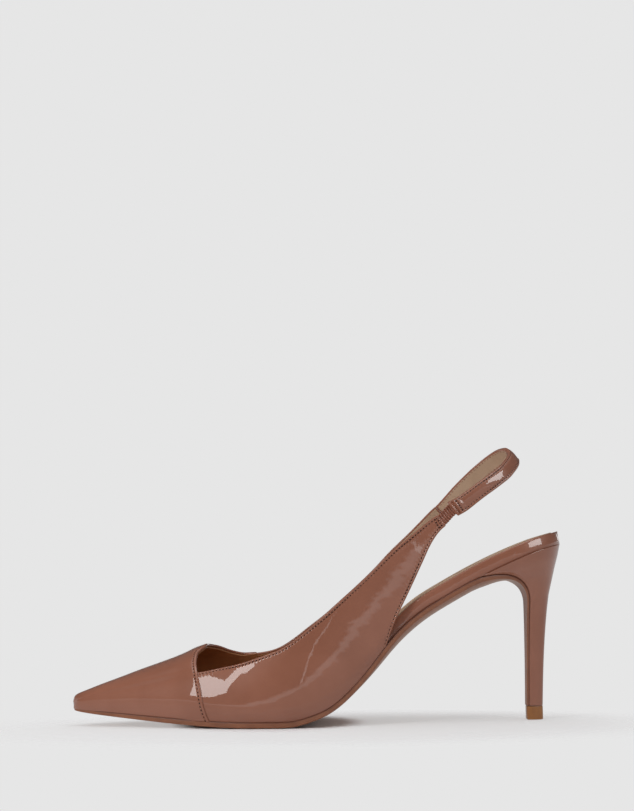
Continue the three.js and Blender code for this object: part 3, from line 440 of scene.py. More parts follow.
class Pattern:
    """One side of the upper, with its corners and edges. The seam is the toe piece's rear edge up
    to the notch: share of the notch's height, share of TOE_PIECE_LENGTH. The throat is the edge
    above it: share of the rest of the height, share of the way back from the notch to the
    throat. The end is where the quarter's topline stops, on the length, with the width in
    millimetres and the slope in degrees of its rear end."""

    def __init__(self, side, seam, throat, topline, end, end_width, end_slope):
        self.side = side
        self.seam = smooth(seam)
        self.throat = smooth(throat)
        self.topline = softened(topline, 1, 3)
        self.back = smooth(QUARTER_BACK)
        self.notch = TOE_PIECE_LENGTH * self.seam(1.0)
        self.end = end * LENGTH
        self.notch_rise = self.top_rise(self.notch) / form_height(self.notch)
        slope = math.radians(end_slope)
        top = feather(self.end) + self.top_rise(self.end)
        self.upper_corner = np.array([self.end, top])
        drop = np.array([math.cos(slope), -math.sin(slope)])
        self.lower_corner = self.upper_corner + end_width * drop
        self.heel_corner = np.array([BACK_CORNER * LENGTH, feather(BACK_CORNER * LENGTH)])

    def top_rise(self, s):
        """Height of the topline above the feather line."""
        return QUARTER_HEIGHT * self.topline(s)

    def edge(self, rise):
        """Rear edge of the toe piece, at a share of the form's height."""
        low = TOE_PIECE_LENGTH * self.seam(np.clip(rise / self.notch_rise, 0, 1))
        over = self.throat(np.clip((rise - self.notch_rise) / (1 - self.notch_rise), 0, 1))
        return np.where(rise <= self.notch_rise, low, mix(self.notch, TOE_PIECE_LENGTH, over))

    def lower_edge(self, u):
        """Lower edge of the quarter: along the sole to its heel corner, then up its rear edge."""
        s = mix(TOE_PIECE_LENGTH * self.seam(0.0), self.heel_corner[0], u / CORNER_SHARE)
        up = np.clip((u - CORNER_SHARE) / (1 - CORNER_SHARE), 0, 1)
        back_s = mix(self.heel_corner[0], self.lower_corner[0], self.back(up))
        back_z = mix(self.heel_corner[1], self.lower_corner[1], up)
        on_sole = u <= CORNER_SHARE
        return np.where(on_sole, s, back_s), np.where(on_sole, feather(s), back_z)

    def upper_edge(self, u):
        """Topline of the quarter, from the notch to its end."""
        s = mix(self.notch, self.end, u)
        return s, feather(s) + self.top_rise(s)

    def spot(self, u, v, shift=0.0):
        """Place and height of a quarter's point: u runs back and v up from the lower edge."""
        low_s, low_z = self.lower_edge(u)
        top_s, top_z = self.upper_edge(u)
        seam_rise = self.notch_rise * v
        seam = self.edge(seam_rise)
        front_s, front_z = seam, feather(seam) + form_height(seam) * seam_rise
        first, last = self.lower_edge(np.zeros(1)), self.upper_edge(np.zeros(1))
        fade = np.maximum(0, 1 - u / 0.3) ** 2
        s = mix(low_s, top_s, v) + (front_s - mix(first[0][0], last[0][0], v)) * fade
        z = mix(low_z, top_z, v) + (front_z - mix(first[1][0], last[1][0], v)) * fade
        return s + shift, z

    def quarter(self, u, v, shift=0.0):
        """Point of a quarter on the form's face."""
        s, z = self.spot(u, v, shift)
        return form_point(s, self.side, np.maximum(0, (z - feather(s)) / form_height(s)))


outer = Pattern(
    side=-1,
    seam=[(0, 1.038), (0.15, 1.0155), (0.343, 0.995), (0.608, 0.979), (0.838, 0.96), (1, 0.947)],
    throat=[(0, 0), (0.46, -0.22), (0.76, -0.15), (0.9, 0.43), (1, 1)],
    topline=OUTER_TOPLINE,
    end=0.7419,
    end_width=6.7,
    end_slope=52,
)
inner = Pattern(
    side=1,
    seam=[(0, 1.154), (0.23, 1.206), (0.53, 1.272), (0.8, 1.318), (1, 1.345)],
    throat=[(0, 0), (0.19, 0.28), (0.49, 0.552), (0.83, 0.81), (1, 1)],
    topline=INNER_TOPLINE,
    end=0.7521,
    end_width=8,
    end_slope=46,
)


# Meshes.


def grid_normals(points):
    """Normals of a grid of points, from the differences to the neighbours each way."""
    along = np.gradient(points, axis=0)
    across = np.gradient(points, axis=1)
    return unit(np.cross(along, across))


def ring_quads(rows, columns, first=0, closed=False):
    """Corner numbers of the quads of a grid, which may close on itself across its columns."""
    steps = columns if closed else columns - 1
    i, j = np.meshgrid(np.arange(rows - 1), np.arange(steps), indexing="ij")
    k = (j + 1) % columns
    corners = [i * columns + j, i * columns + k, (i + 1) * columns + k, (i + 1) * columns + j]
    return np.stack(corners, -1).reshape(-1, 4) + first


def build(name, surface, material, replaced=(), marks=None, grain=1e-3):
    """Piece from a surface's points in millimetres and its quads. Points that meet are welded,
    closed-up quads become triangles, and faces are turned so that the volume inside them is
    positive. Marks are a value for each point, which the finish reads as the attribute part."""
    points, quads = surface
    points = points.reshape(-1, 3)
    keys = np.round(points / grain).astype(np.int64)
    _, first, inverse = np.unique(keys, axis=0, return_index=True, return_inverse=True)
    inverse = inverse.reshape(-1)
    welded = points[first]
    quads = inverse[quads]
    same = quads == np.roll(quads, -1, axis=1)
    doubled = same.sum(axis=1)
    whole = quads[doubled == 0]
    halves = quads[doubled == 1][~same[doubled == 1]].reshape(-1, 3)
    corners = [welded[whole[:, n]] for n in range(4)]
    volume = np.einsum("ij,ij->", corners[0], np.cross(corners[1], corners[2]))
    volume += np.einsum("ij,ij->", corners[0], np.cross(corners[2], corners[3]))
    if volume < 0:
        whole, halves = whole[:, ::-1], halves[:, ::-1]
    mesh = bpy.data.meshes.new(name)
    mesh.vertices.add(len(welded))
    mesh.vertices.foreach_set("co", (welded * 0.001).astype(np.float32).ravel())
    loops = np.concatenate([whole.ravel(), halves.ravel()]).astype(np.int32)
    sizes = np.concatenate([np.full(len(whole), 4), np.full(len(halves), 3)])
    mesh.loops.add(len(loops))
    mesh.loops.foreach_set("vertex_index", loops)
    mesh.polygons.add(len(sizes))
    mesh.polygons.foreach_set("loop_start", (np.cumsum(sizes) - sizes).astype(np.int32))
    mesh.polygons.foreach_set("use_smooth", np.ones(len(sizes), bool))
    mesh.update(calc_edges=True)
    mesh.validate()
    if marks is not None:
        layer = mesh.attributes.new("part", "FLOAT", "POINT")
        layer.data.foreach_set("value", marks.reshape(-1)[first].astype(np.float32))
    mesh.materials.append(material)
    piece = bpy.data.objects.new(name, mesh)
    bpy.context.scene.collection.objects.link(piece)
    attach(piece, "root")
    if replaced:
        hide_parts(*replaced)
    return piece


def shell(outside, inside, rims=(True, True, True, True)):
    """Points and quads of a wall between two grids, with rims at the start, the end, the low
    side and the high side."""
    rows, columns = outside.shape[:2]
    count = rows * columns
    ids = np.arange(count).reshape(rows, columns)
    quads = [ring_quads(rows, columns), ring_quads(rows, columns, count)[:, ::-1]]
    borders = [ids[0][::-1], ids[-1], ids[:, 0], ids[:, -1][::-1]]
    for wanted, border in zip(rims, borders):
        if wanted:
            a, b = border[:-1], border[1:]
            quads.append(np.stack([a, b, b + count, a + count], -1))
    points = np.concatenate([outside.reshape(-1, 3), inside.reshape(-1, 3)])
    return points, np.concatenate(quads)


def tube(rings):
    """Points and quads of closed rings, with strips across the first and the last of them."""
    rows, count = rings.shape[:2]
    quads = [ring_quads(rows, count, closed=True)]
    j = np.arange(count // 2 - 1)
    cap = np.stack([j, count - 1 - j, count - 2 - j, j + 1], -1)
    quads.append(cap)
    quads.append(cap[:, ::-1] + (rows - 1) * count)
    return rings.reshape(-1, 3), np.concatenate(quads)


def roll(distance, radius):
    """How far a rolled edge falls away from the face, at a distance from the edge: a quarter of a
    circle."""
    left = np.clip(radius - distance, 0, radius)
    return radius - np.sqrt(radius**2 - left**2)


def arc_length(path):
    """Distance run along a path at each of its points."""
    return np.concatenate([[0], np.cumsum(np.linalg.norm(np.diff(path, axis=0), axis=1))])


# Materials.


def srgb(red, green, blue):
    """Linear colour of a display colour in 0 to 255."""
    def linear(value):
        value /= 255
        return value / 12.92 if value <= 0.04045 else ((value + 0.055) / 1.055) ** 2.4

    return (linear(red), linear(green), linear(blue), 1)


def new_material(name, **sockets):
    """Material with a Principled shader; sockets are given by name with _ for a space."""
    material = bpy.data.materials.new(name)
    material.use_nodes = True
    shader = material.node_tree.nodes["Principled BSDF"]
    for key, value in sockets.items():
        shader.inputs[key.replace("_", " ")].default_value = value
    return material, shader


def add_node(material, kind, inputs=None, **settings):
    """Node with its settings; inputs name a socket and give a value or another node's output."""
    node = material.node_tree.nodes.new(kind)
    for key, value in settings.items():
        setattr(node, key, value)
    for key, value in (inputs or {}).items():
        if isinstance(value, bpy.types.NodeSocket):
            material.node_tree.links.new(value, node.inputs[key])
        else:
            node.inputs[key].default_value = value
    return node


def noise(material, scale, detail=2.0, stretch=(1, 1, 1)):
    """Noise on object coordinates, scale in cycles per metre."""
    place = add_node(material, "ShaderNodeTexCoord").outputs["Object"]
    mapped = add_node(material, "ShaderNodeMapping", {"Vector": place, "Scale": stretch})
    inputs = {"Vector": mapped.outputs[0], "Scale": scale, "Detail": detail, "Roughness": 0.5}
    return add_node(material, "ShaderNodeTexNoise", inputs).outputs["Fac"]


def ramp(material, factor, stops):
    """Colour ramp with stops of (place, colour)."""
    node = add_node(material, "ShaderNodeValToRGB", {"Fac": factor})
    elements = node.color_ramp.elements
    while len(elements) < len(stops):
        elements.new(0.5)
    for element, (at, colour) in zip(elements, stops):
        element.position = at
        element.color = colour
    return node.outputs["Color"]


def clouds(material, scale, detail, dark, light, half=0.2):
    """Cloudy tone between two display colours; half is half the noise range that it covers."""
    stops = [(0.5 - half, srgb(*dark)), (0.5 + half, srgb(*light))]
    return ramp(material, noise(material, scale, detail), stops)


def blend(material, share, first, second):
    """Colour that turns from the first output to the second as the share grows."""
    inputs = {0: share, 6: first, 7: second}
    return add_node(material, "ShaderNodeMix", inputs, data_type="RGBA").outputs[2]


def bumps(material, shader, layers):
    """Chain of bumps, each a height output, its depth in metres and its strength."""
    normal = None
    for height, depth, strength in layers:
        inputs = {"Height": height, "Distance": depth, "Strength": strength}
        if normal is not None:
            inputs["Normal"] = normal
        normal = add_node(material, "ShaderNodeBump", inputs).outputs["Normal"]
    material.node_tree.links.new(normal, shader.inputs["Normal"])
    return normal


def patent_leather(name, ripple):
    """Brown leather under a clear glossy film that lies slightly rippled on it."""
    material, shader = new_material(
        name, Roughness=0.42, Coat_Weight=1.0, Coat_Roughness=0.025, Coat_IOR=1.5,
        Specular_IOR_Level=0.25,
    )
    tone = clouds(material, 55, 3, BROWN_DARK, BROWN)
    material.node_tree.links.new(tone, shader.inputs["Base Color"])
    layers = [
        (noise(material, 95), 0.00014 * ripple, 1.0),
        (noise(material, 520, 1.0), 0.00001 * ripple, 1.0),
    ]
    normal = bumps(material, shader, layers)
    material.node_tree.links.new(normal, shader.inputs["Coat Normal"])
    return material


def lining_leather():
    """Matte lining leather with fine pores and a soft cloudy tone, painted darker inside the toe
    as shade.
    """
    material, shader = new_material("lining_leather", Roughness=0.62, Specular_IOR_Level=0.35)
    pale = clouds(material, 90, 4, LINING_DARK, LINING_LIGHT)
    # A darker copy of the lining's tone: painted shade for the inside of the toe.
    shaded = clouds(material, 90, 4, LINING_SHADED_DARK, LINING_SHADED_LIGHT)
    place = add_node(material, "ShaderNodeTexCoord").outputs["Object"]
    along = add_node(material, "ShaderNodeSeparateXYZ", {"Vector": place}).outputs["X"]
    share = add_node(
        material, "ShaderNodeMapRange",
        {"Value": along, "From Min": SHADE_UP_TO, "From Max": PALE_FROM},
        interpolation_type="SMOOTHSTEP",
    ).outputs[0]
    tone = blend(material, share, shaded, pale)
    material.node_tree.links.new(tone, shader.inputs["Base Color"])
    pores = add_node(material, "ShaderNodeTexVoronoi", {"Vector": place, "Scale": 2600.0})
    layers = [(pores.outputs["Distance"], 0.00006, 0.5), (noise(material, 700, 3), 0.00008, 0.5)]
    bumps(material, shader, layers)
    return material


def sole_leather():
    """Sole leather by the attribute part: -1 on the inked upper edge, whose dark tone also paints
    the shade of the crease under the upper, 0 on the bare edge and 1 on the paler underside, whose
    tone is partly its own and partly painted reflection of the floor."""
    material, shader = new_material(
        "sole_leather", Roughness=0.5, Coat_Weight=0.12, Coat_Roughness=0.25
    )
    part = add_node(material, "ShaderNodeAttribute", attribute_name="part").outputs["Fac"]
    inked_and_shaded = add_node(
        material, "ShaderNodeMath", {0: part, 1: -1.0}, operation="MULTIPLY", use_clamp=True
    ).outputs[0]
    bare = clouds(material, 140, 4, (130, 78, 50), (147, 91, 60))
    # Dark ink, which also paints the shade of the crease under the upper.
    ink_and_crease_shade = clouds(material, 200, 2, (88, 44, 28), (104, 56, 38))
    # Paler underside: partly its own bare tone, partly painted reflection of the pale floor.
    pale_under_and_reflection = clouds(material, 90, 4, (150, 112, 90), (166, 130, 108))
    tone = blend(material, part, blend(material, inked_and_shaded, bare, ink_and_crease_shade), pale_under_and_reflection)
    material.node_tree.links.new(tone, shader.inputs["Base Color"])
    bumps(material, shader, [(noise(material, 260, 3), 0.00012, 0.6)])
    return material


def plain_finish(name, tone, relief, **sockets):
    """Finish of one cloudy tone with one layer of bumps; relief is the noise's scale and detail,
    its stretch and the depth in metres, or nothing for an even face."""
    material, shader = new_material(name, **sockets)
    material.node_tree.links.new(clouds(material, *tone), shader.inputs["Base Color"])
    if relief:
        scale, detail, stretch, depth = relief
        bumps(material, shader, [(noise(material, scale, detail, stretch=stretch), depth, 0.6)])
    return material


patent = patent_leather("patent_leather", ripple=0.75)
taut_patent = patent_leather("taut_patent_leather", ripple=0.5)
lining = lining_leather()
sole_finish = sole_leather()
elastic = plain_finish(
    "gathered_elastic", (400, 3, (138, 82, 60), (158, 102, 80)), (1500, 2, (1, 1, 1), 0.00008),
    Roughness=0.4, Coat_Weight=0.7, Coat_Roughness=0.12,
)
thread = plain_finish(
    "sewing_thread", (900, 2, (140, 90, 68), (168, 120, 98), 0.15), (3000, 2, (1, 3, 1), 0.00006),
    Roughness=0.5, Specular_IOR_Level=0.4,
)
# Dark ovals at the needle holes: painted shade of the pits where the thread goes in.
painted_hole_shade = plain_finish(
    "painted_hole_shade", (800, 1, (52, 24, 16), (72, 36, 25)), None,
    Roughness=0.7, Specular_IOR_Level=0.2,
)
rubber = plain_finish(
    "top_piece_rubber", (240, 4, (142, 86, 30), (160, 102, 42)), (900, 3, (1, 1, 1), 0.0001),
    Roughness=0.4, Coat_Weight=0.3, Coat_Roughness=0.25,
)


# Stitches.

stitch_paths = []


def oval(across, around):
    """Points and quads of a closed unit oval, poles along x."""
    tilt = np.linspace(0, np.pi, across)
    turn = np.linspace(0, 2 * np.pi, around, endpoint=False)
    x = np.broadcast_to(-np.cos(tilt)[:, None], (across, around))
    y = np.sin(tilt)[:, None] * np.cos(turn)
    z = np.sin(tilt)[:, None] * np.sin(turn)
    return np.stack([x, y, z], -1).reshape(-1, 3), ring_quads(across, around, closed=True)


def sew(path, normals, pitch=STITCH_PITCH, start=0.5, finish=0.5, pierced=True):
    """Notes a row of stitches along a path on a face: their ends, the ways up, and whether the
    dark ovals of painted shade at the needle holes show."""
    run = arc_length(path)
    length = run[-1] - start - finish
    count = max(1, round(length / pitch))
    ends = start + length * np.arange(count + 1) / count
    knots = np.stack([np.interp(ends, run, path[:, n]) for n in range(3)], -1)
    ups = unit(np.stack([np.interp(ends, run, normals[:, n]) for n in range(3)], -1))
    stitch_paths.append((knots, ups, pierced))


def make_stitches():
    """All thread as one piece and the painted shade of all needle holes as another, each many
    small ovals.
    """
    middles, runs, ups, holes, hole_ups, hole_runs = [], [], [], [], [], []
    for knots, up, pierced in stitch_paths:
        middles.append((knots[:-1] + knots[1:]) / 2)
        runs.append(unit(knots[1:] - knots[:-1]))
        ups.append(unit(up[:-1] + up[1:]))
        if pierced:
            holes.append(knots)
            hole_ups.append(up)
            hole_runs.append(unit(np.gradient(knots, axis=0)))
    for name, material, at, run, up, size, lift in (
        ("stitch_thread", thread, middles, runs, ups, THREAD_SIZE, THREAD_LIFT),
        ("painted_hole_shades", painted_hole_shade, holes, hole_runs, hole_ups, HOLE_SIZE, 0.0),
    ):
        at, run, up = (np.concatenate(values) for values in (at, run, up))
        side = unit(np.cross(up, run))
        up = np.cross(run, side)
        shape, quads = oval(OVAL_RINGS, OVAL_POINTS)
        shape = shape * size
        points = (
            at[:, None]
            + shape[None, :, :1] * run[:, None]
            + shape[None, :, 1:2] * side[:, None]
            + (shape[None, :, 2:] + lift) * up[:, None]
        )
        first = np.arange(len(at))[:, None, None] * len(shape)
        ovals = (points, (quads[None] + first).reshape(-1, 4))
        build(name, ovals, material, grain=1e-4)


# Upper.


def seam_relief(distance, run, inset=STITCH_INSET):
    """Groove that the stitches pull into the leather, puckered at each needle hole, and the
    puffed margin between it and the edge."""
    beat = np.cos(2 * np.pi * run / STITCH_PITCH)
    groove = STITCH_GROOVE * bell(distance - inset, 0.34) * (1 + 0.45 * beat)
    pucker = PUCKER * bell(distance - inset, 0.9) * beat
    return STITCH_MARGIN * bell(distance - 0.55 * inset, 0.36) - groove - pucker


def fold_relief(points):
    """Soft folds of the leather, each a bell across a line in side view that fades at its ends."""
    s, z = points[..., 0] + CENTRE, points[..., 2]
    total = 0
    for s0, z0, s1, z1, depth, width in FOLDS:
        length = math.hypot(s1 - s0, z1 - z0)
        run = ((s - s0) * (s1 - s0) + (z - z0) * (z1 - z0)) / length**2
        aside = ((s - s0) * (z1 - z0) - (z - z0) * (s1 - s0)) / length
        total = total + depth * bell(aside, width) * ease(run / 0.35) * ease((1 - run) / 0.35)
    return total


def facing_out(points, side):
    """Normals of a grid, turned away from the middle of the shoe."""
    normals = grid_normals(points)
    return normals * np.sign((normals[..., 1] * side).mean())


def reach(pattern, u, v, step):
    """How far a quarter's surface goes square to its edge, for each unit of v."""
    here = pattern.quarter(u, np.full(len(u), v))
    there = pattern.quarter(u, np.full(len(u), v + step))
    along = unit(np.gradient(here, axis=0))
    return np.linalg.norm(square_to((there - here) / step, along), axis=-1)


def quarter_grid(pattern, counts, steps, lap, inset=0.0):
    """Grid of a quarter, its lines crowded towards its free edges, and first the columns that lap
    under the toe piece. Gives points, normals, the distances to the topline, the rear edge and
    the end, and which points stand on the sole."""
    columns, middle_rows = counts
    last = pattern.quarter(np.array([1.0]), np.array([0.5]))
    before = pattern.quarter(np.array([0.999]), np.array([0.5]))
    end_run = np.linalg.norm(last - before) / 0.001
    steps = steps + inset
    u = np.linspace(0, 1 - steps[-1] / end_run, columns, endpoint=False)
    u = np.concatenate([u, 1 - steps[::-1] / end_run])
    low_reach = reach(pattern, u, 0.0, 1e-3)[:, None]
    top_reach = reach(pattern, u, 1.0, -1e-3)[:, None]
    free = ease((u - CORNER_SHARE + 0.06) / 0.06)[:, None]
    low = np.maximum(0, steps - inset * (1 - free)) / low_reach
    top = 1 - steps[::-1] / top_reach
    between = np.linspace(0, 1, middle_rows + 2)[1:-1]
    v = np.concatenate([low, low[:, -1:] + (top[:, :1] - low[:, -1:]) * between, top], axis=1)
    laps = len(lap)
    u = np.concatenate([np.zeros(laps), u])[:, None]
    v = np.concatenate([np.repeat(v[:1], laps, axis=0), v])
    shift = np.concatenate([lap, np.zeros(len(u) - laps)])[:, None]
    low_reach = np.concatenate([np.repeat(low_reach[:1], laps, axis=0), low_reach])
    top_reach = np.concatenate([np.repeat(top_reach[:1], laps, axis=0), top_reach])
    points = pattern.quarter(np.broadcast_to(u, v.shape), v, shift)
    to_top = (1 - v) * top_reach - inset
    to_back = np.hypot(v * low_reach, np.maximum(0, CORNER_SHARE - u) * LOWER_EDGE_RUN) - inset
    to_end = (1 - u) * end_run - inset + 0 * v
    normals = facing_out(points, pattern.side)
    normals[:laps] = normals[laps]
    on_sole = (u <= CORNER_SHARE) & (v < 1e-6)
    normals[..., 2] = np.where(on_sole, 0, normals[..., 2])
    return points, unit(normals), (to_top, to_back, to_end), on_sole


def make_quarter(name, pattern):
    """Patent leather of one side, with rolled edges, stitched margins and soft folds."""
    points, normals, (to_top, to_back, to_end), on_sole = quarter_grid(
        pattern, QUARTER_GRID, EDGE_STEPS, QUARTER_LAPS
    )
    distances = (to_top, to_back, to_end)
    top_row = points.shape[1] - 1 - STITCH_STEP
    top_run = arc_length(points[:, top_row])[:, None]
    back_run = arc_length(points[:, STITCH_STEP])[:, None]
    sink = np.max([roll(distance, EDGE_ROLL) for distance in distances], axis=0)
    # The seams fade out before the end, and the folds well before it.
    sewn = ease((to_end - 2.2) / 0.8)
    relief = seam_relief(to_top, top_run) * sewn
    relief = relief + seam_relief(to_back, back_run) * sewn * ease(to_top / 3)
    folds = fold_relief(points) * ease((to_end - 8) / 20)
    out = points + normals * (relief - sink + folds)[..., None]
    back = points + normals * (PATENT_INSIDE + sink)[..., None]
    for face in (out, back):
        face[..., 2] -= np.where(on_sole, FOOT_DROP, 0)
    build(name, shell(out, back), patent, ("upper",))
    ahead = np.flatnonzero(to_end[:, 0] < 1.9)[0]
    sew(out[3:ahead, top_row], normals[3:ahead, top_row], start=0.4)
    corner = np.flatnonzero(to_back[:, STITCH_STEP] < 1.4)[0]
    sew(out[corner + 2 : ahead, STITCH_STEP], normals[corner + 2 : ahead, STITCH_STEP])
    rows = slice(STITCH_STEP, top_row + 1)
    for inset in TACK_ROWS:
        column = np.argmin(np.abs(to_end[:, 0] - inset))
        sew(out[column, rows], normals[column, rows], pitch=TACK_PITCH, start=0.2, finish=0.2)


def make_quarter_lining(name, pattern):
    """Lining of one side, a thin sheet that stops short of the folded edges."""
    points, normals, distances, on_sole = quarter_grid(
        pattern, QUARTER_LINING_GRID, LINING_STEPS, QUARTER_LINING_LAPS, inset=LINING_INSET
    )
    sink = roll(np.maximum(np.min(distances, axis=0), 0), LINING_ROLL)
    out = points + normals * (PATENT_INSIDE + LINING_OVERLAP)
    back = points + normals * (LINING_INSIDE + sink)[..., None]
    for face in (out, back):
        face[..., 2] -= np.where(on_sole, FOOT_DROP, 0)
    build(name, shell(out, back), lining, ("upper",))


def row_rises(notch_rise):
    """Rises of the toe's rows: even up to the notch, then even in angle round the arch."""
    start = math.asin(notch_rise ** (ARCH_TOP / 2))
    lower = np.linspace(0, notch_rise, WALL_ROWS + 1)
    upper = np.sin(np.linspace(start, np.pi / 2, THROAT_ROWS + 1)[1:]) ** (2 / ARCH_TOP)
    return np.concatenate([lower, upper])


def toe_grid(columns, steps, inset=0.0):
    """Grid of the toe from the outer feather line over the ridge to the inner one, columns from
    the tip to the rear edge. Gives points, normals, distances to the edge and the place of each
    row above the notch, 0 below it and 1 well over it."""
    tip = row_rises((outer.notch_rise + inner.notch_rise) / 2)
    halves = []
    for pattern in (outer, inner):
        own = row_rises(pattern.notch_rise)
        edge = pattern.edge(own)
        here = form_point(edge, pattern.side, own)
        there = form_point(edge - 0.01, pattern.side, own)
        along = unit(np.gradient(here, axis=0))
        across = square_to((here - there) / 0.01, along)
        per_mm = np.maximum(np.linalg.norm(across, axis=-1), 0.35)
        over = ease((own - pattern.notch_rise) / 0.08)
        start = edge - (steps[-1] + inset * over) / per_mm
        share = np.linspace(0, 1, columns)[:, None]
        s = start * share**1.6
        rise = mix(tip, own, share)
        band = edge - (steps[::-1][1:, None] + inset * over) / per_mm
        s = np.concatenate([s, band])
        rise = np.concatenate([rise, np.repeat(own[None], len(steps) - 1, axis=0)])
        distance = (edge - s) * per_mm - inset * over
        points = form_point(s, pattern.side, rise)
        halves.append((points, distance, np.broadcast_to(over, s.shape)))
    points, distance, over = (
        np.concatenate([a, b[:, -2::-1]], axis=1) for a, b in zip(*halves)
    )
    normals = grid_normals(points)
    normals *= np.sign(normals[columns // 2, points.shape[1] // 2, 2])
    tip_normals = normals[0] + normals[0][::-1]
    tip_normals[:, 1] = 0
    normals[0] = unit(tip_normals)
    normals[:, 0, 2] = normals[:, -1, 2] = 0
    return points, unit(normals), distance, over


def on_feather(grid):
    """Grid of the toe with the foot of both its sides let down behind the sole's edge."""
    grid[:, [0, -1], 2] -= FOOT_DROP
    return grid


def make_toe_piece():
    """Toe piece of patent leather, lapped over the quarters, with a rolled and stitched edge."""
    points, normals, distance, over = toe_grid(TOE_COLUMNS, EDGE_STEPS)
    wall = mix(TOE_WALL, TOE_RIDGE_WALL, over)
    sink = roll(distance, wall / 2 - 0.03)
    column = len(points) - 1 - TOE_STITCH_STEP
    run = arc_length(points[column])[None]
    relief = seam_relief(distance, run, TOE_STITCH_INSET)
    behind = distance < TROUGH_AT
    trough = bell(distance - TROUGH_AT, np.where(behind, TROUGH_BACK, TROUGH_FRONT))
    level = TOE_PIECE_PROUD - TROUGH_DEPTH * trough * (1 - over)
    out = on_feather(points + normals * (level + relief - sink)[..., None])
    back = on_feather(points + normals * (level - wall + sink)[..., None])
    leather = shell(out, back, rims=(False, True, True, True))
    build("toe_piece_leather", leather, taut_patent, ("toe_piece",))
    sew(out[column], normals[column], start=0.9, finish=0.9)


def make_toe_lining():
    """Lining of the toe, a thin sheet that ends inside the toe piece's folded edge."""
    points, normals, distance, over = toe_grid(
        TOE_LINING_COLUMNS, LINING_STEPS, inset=LINING_INSET
    )
    sink = roll(np.maximum(distance, 0), LINING_ROLL) * over
    outside = TOE_LINING_OUTSIDE - TOE_LINING_SINK * over
    out = on_feather(points + normals * outside[..., None])
    back = on_feather(points + normals * (LINING_INSIDE - TOE_LINING_THICKER + sink)[..., None])
    sheet = shell(out, back, rims=(False, True, True, True))
    build("toe_lining", sheet, lining, ("upper",))


make_toe_piece()
make_toe_lining()
for words, pattern in (("outer", outer), ("inner", inner)):
    make_quarter(words + "_quarter", pattern)
    make_quarter_lining(words + "_quarter_lining", pattern)


# Elastic and strap.


def quarter_end(pattern):
    """Middle of the end of a quarter's wall, the direction of its end and the way on from it."""
    corners = []
    for s, z in (pattern.upper_corner, pattern.lower_corner):
        corners.append(form_point(s, pattern.side, (z - feather(s)) / form_height(s)))
    across = unit(corners[0] - corners[1])
    middle = (corners[0] + corners[1]) / 2
    middle[1] -= pattern.side * UPPER_WALL / 2
    ahead = unit(np.array([across[2], 0, -across[0]]))
    return middle, across, ahead


outer_end, inner_end = quarter_end(outer), quarter_end(inner)


def through_knots(knots, t):
    """Curve through knots at shares t of its spans: a cubic on each span, whose slope at a knot
    is half the step between the knots beside it. The ends are mirrored."""
    padded = np.concatenate([[2 * knots[0] - knots[1]], knots, [2 * knots[-1] - knots[-2]]])
    span = np.clip(np.floor(t * (len(knots) - 1)).astype(int), 0, len(knots) - 2)
    local = (t * (len(knots) - 1) - span)[:, None]
    a, b, c, d = (padded[span + n] for n in range(4))
    enter, leave = (c - a) / 2, (d - b) / 2
    bend = (2 * b - 2 * c + enter + leave) * local**3
    return bend + (3 * c - 3 * b - 2 * enter - leave) * local**2 + enter * local + b


def strap_path(count):
    """Middle line of the strap, with its directions along, across and outward at each point."""
    middle, across, ahead = outer_end
    start = middle + ahead * (GORE_LENGTH + 2 * SOLE_GAP) + across * STRAP_STEP
    finish = inner_end[0] + inner_end[2] * 0.1
    table = np.array(STRAP)
    share = (np.arange(len(table)) + 1) / (len(table) + 1)
    base = start + (finish - start) * share[:, None]
    centre_y, half_gap = (start[1] + finish[1]) / 2, (finish[1] - start[1]) / 2
    knots = np.stack(
        [
            base[:, 0] + STRAP_REACH * table[:, 0],
            centre_y + half_gap * table[:, 1],
            base[:, 2] + STRAP_RISE * table[:, 2],
        ],
        -1,
    )
    knots = np.concatenate([[start], knots, [finish]])
    t = np.linspace(0, 1, count)
    path = through_knots(knots, t)
    for _ in range(STRAP_SMOOTHINGS):
        path[1:-1] = (path[:-2] + 2 * path[1:-1] + path[2:]) / 4
    leans = np.concatenate([STRAP_END_LEANS[:1], table[:, 3], STRAP_END_LEANS[1:]])
    lean_at = smooth(np.stack([np.arange(len(leans)), leans], -1))
    lean = np.radians(lean_at(t * (len(leans) - 1)))
    tangent = unit(np.gradient(path, axis=0))
    across = np.stack([-np.sin(lean), 0 * lean, np.cos(lean)], -1)
    # Both ends are turned into line with the quarters.
    outer_share = ease(1 - arc_length(path) / 6)[:, None]
    inner_share = ease(1 - arc_length(path[::-1])[::-1] / 8)[:, None]
    across = unit(mix(across, inner_end[1], inner_share))
    tangent = unit(mix(tangent, outer_end[2], outer_share))
    tangent = unit(mix(tangent, -inner_end[2], inner_share))
    outward = unit(np.cross(tangent, across))
    return path, tangent, across, outward


def doubled(run):
    """Share of the strap's doubling, from 1 at its sewn end to 0 past it."""
    return 1 - ease((run - DOUBLED_RUN) / 2)


def end_relief(run):
    """Doubled and gathered end of the strap, sewn over the elastic: ridges and a furrow, each a
    bell over the run."""
    ridges = 0.3 * bell(run - 0.8, 0.5) + 0.25 * bell(run - 2.9, 0.55)
    return DOUBLED_FACE * doubled(run) + ridges - 0.75 * bell(run - 1.9, 0.42)


def band(line, x, above, below):
    """Rings round a band along a line of (path, tangent, across, outward): x across it, with the
    height of its face and of its back."""
    path, _, across, outward = line
    ring_x = np.concatenate([x, x[:, ::-1]], axis=1)
    ring_y = np.concatenate([above, below[:, ::-1]], axis=1)
    level = path[:, None] + across[:, None] * ring_x[..., None]
    return level + outward[:, None] * ring_y[..., None]


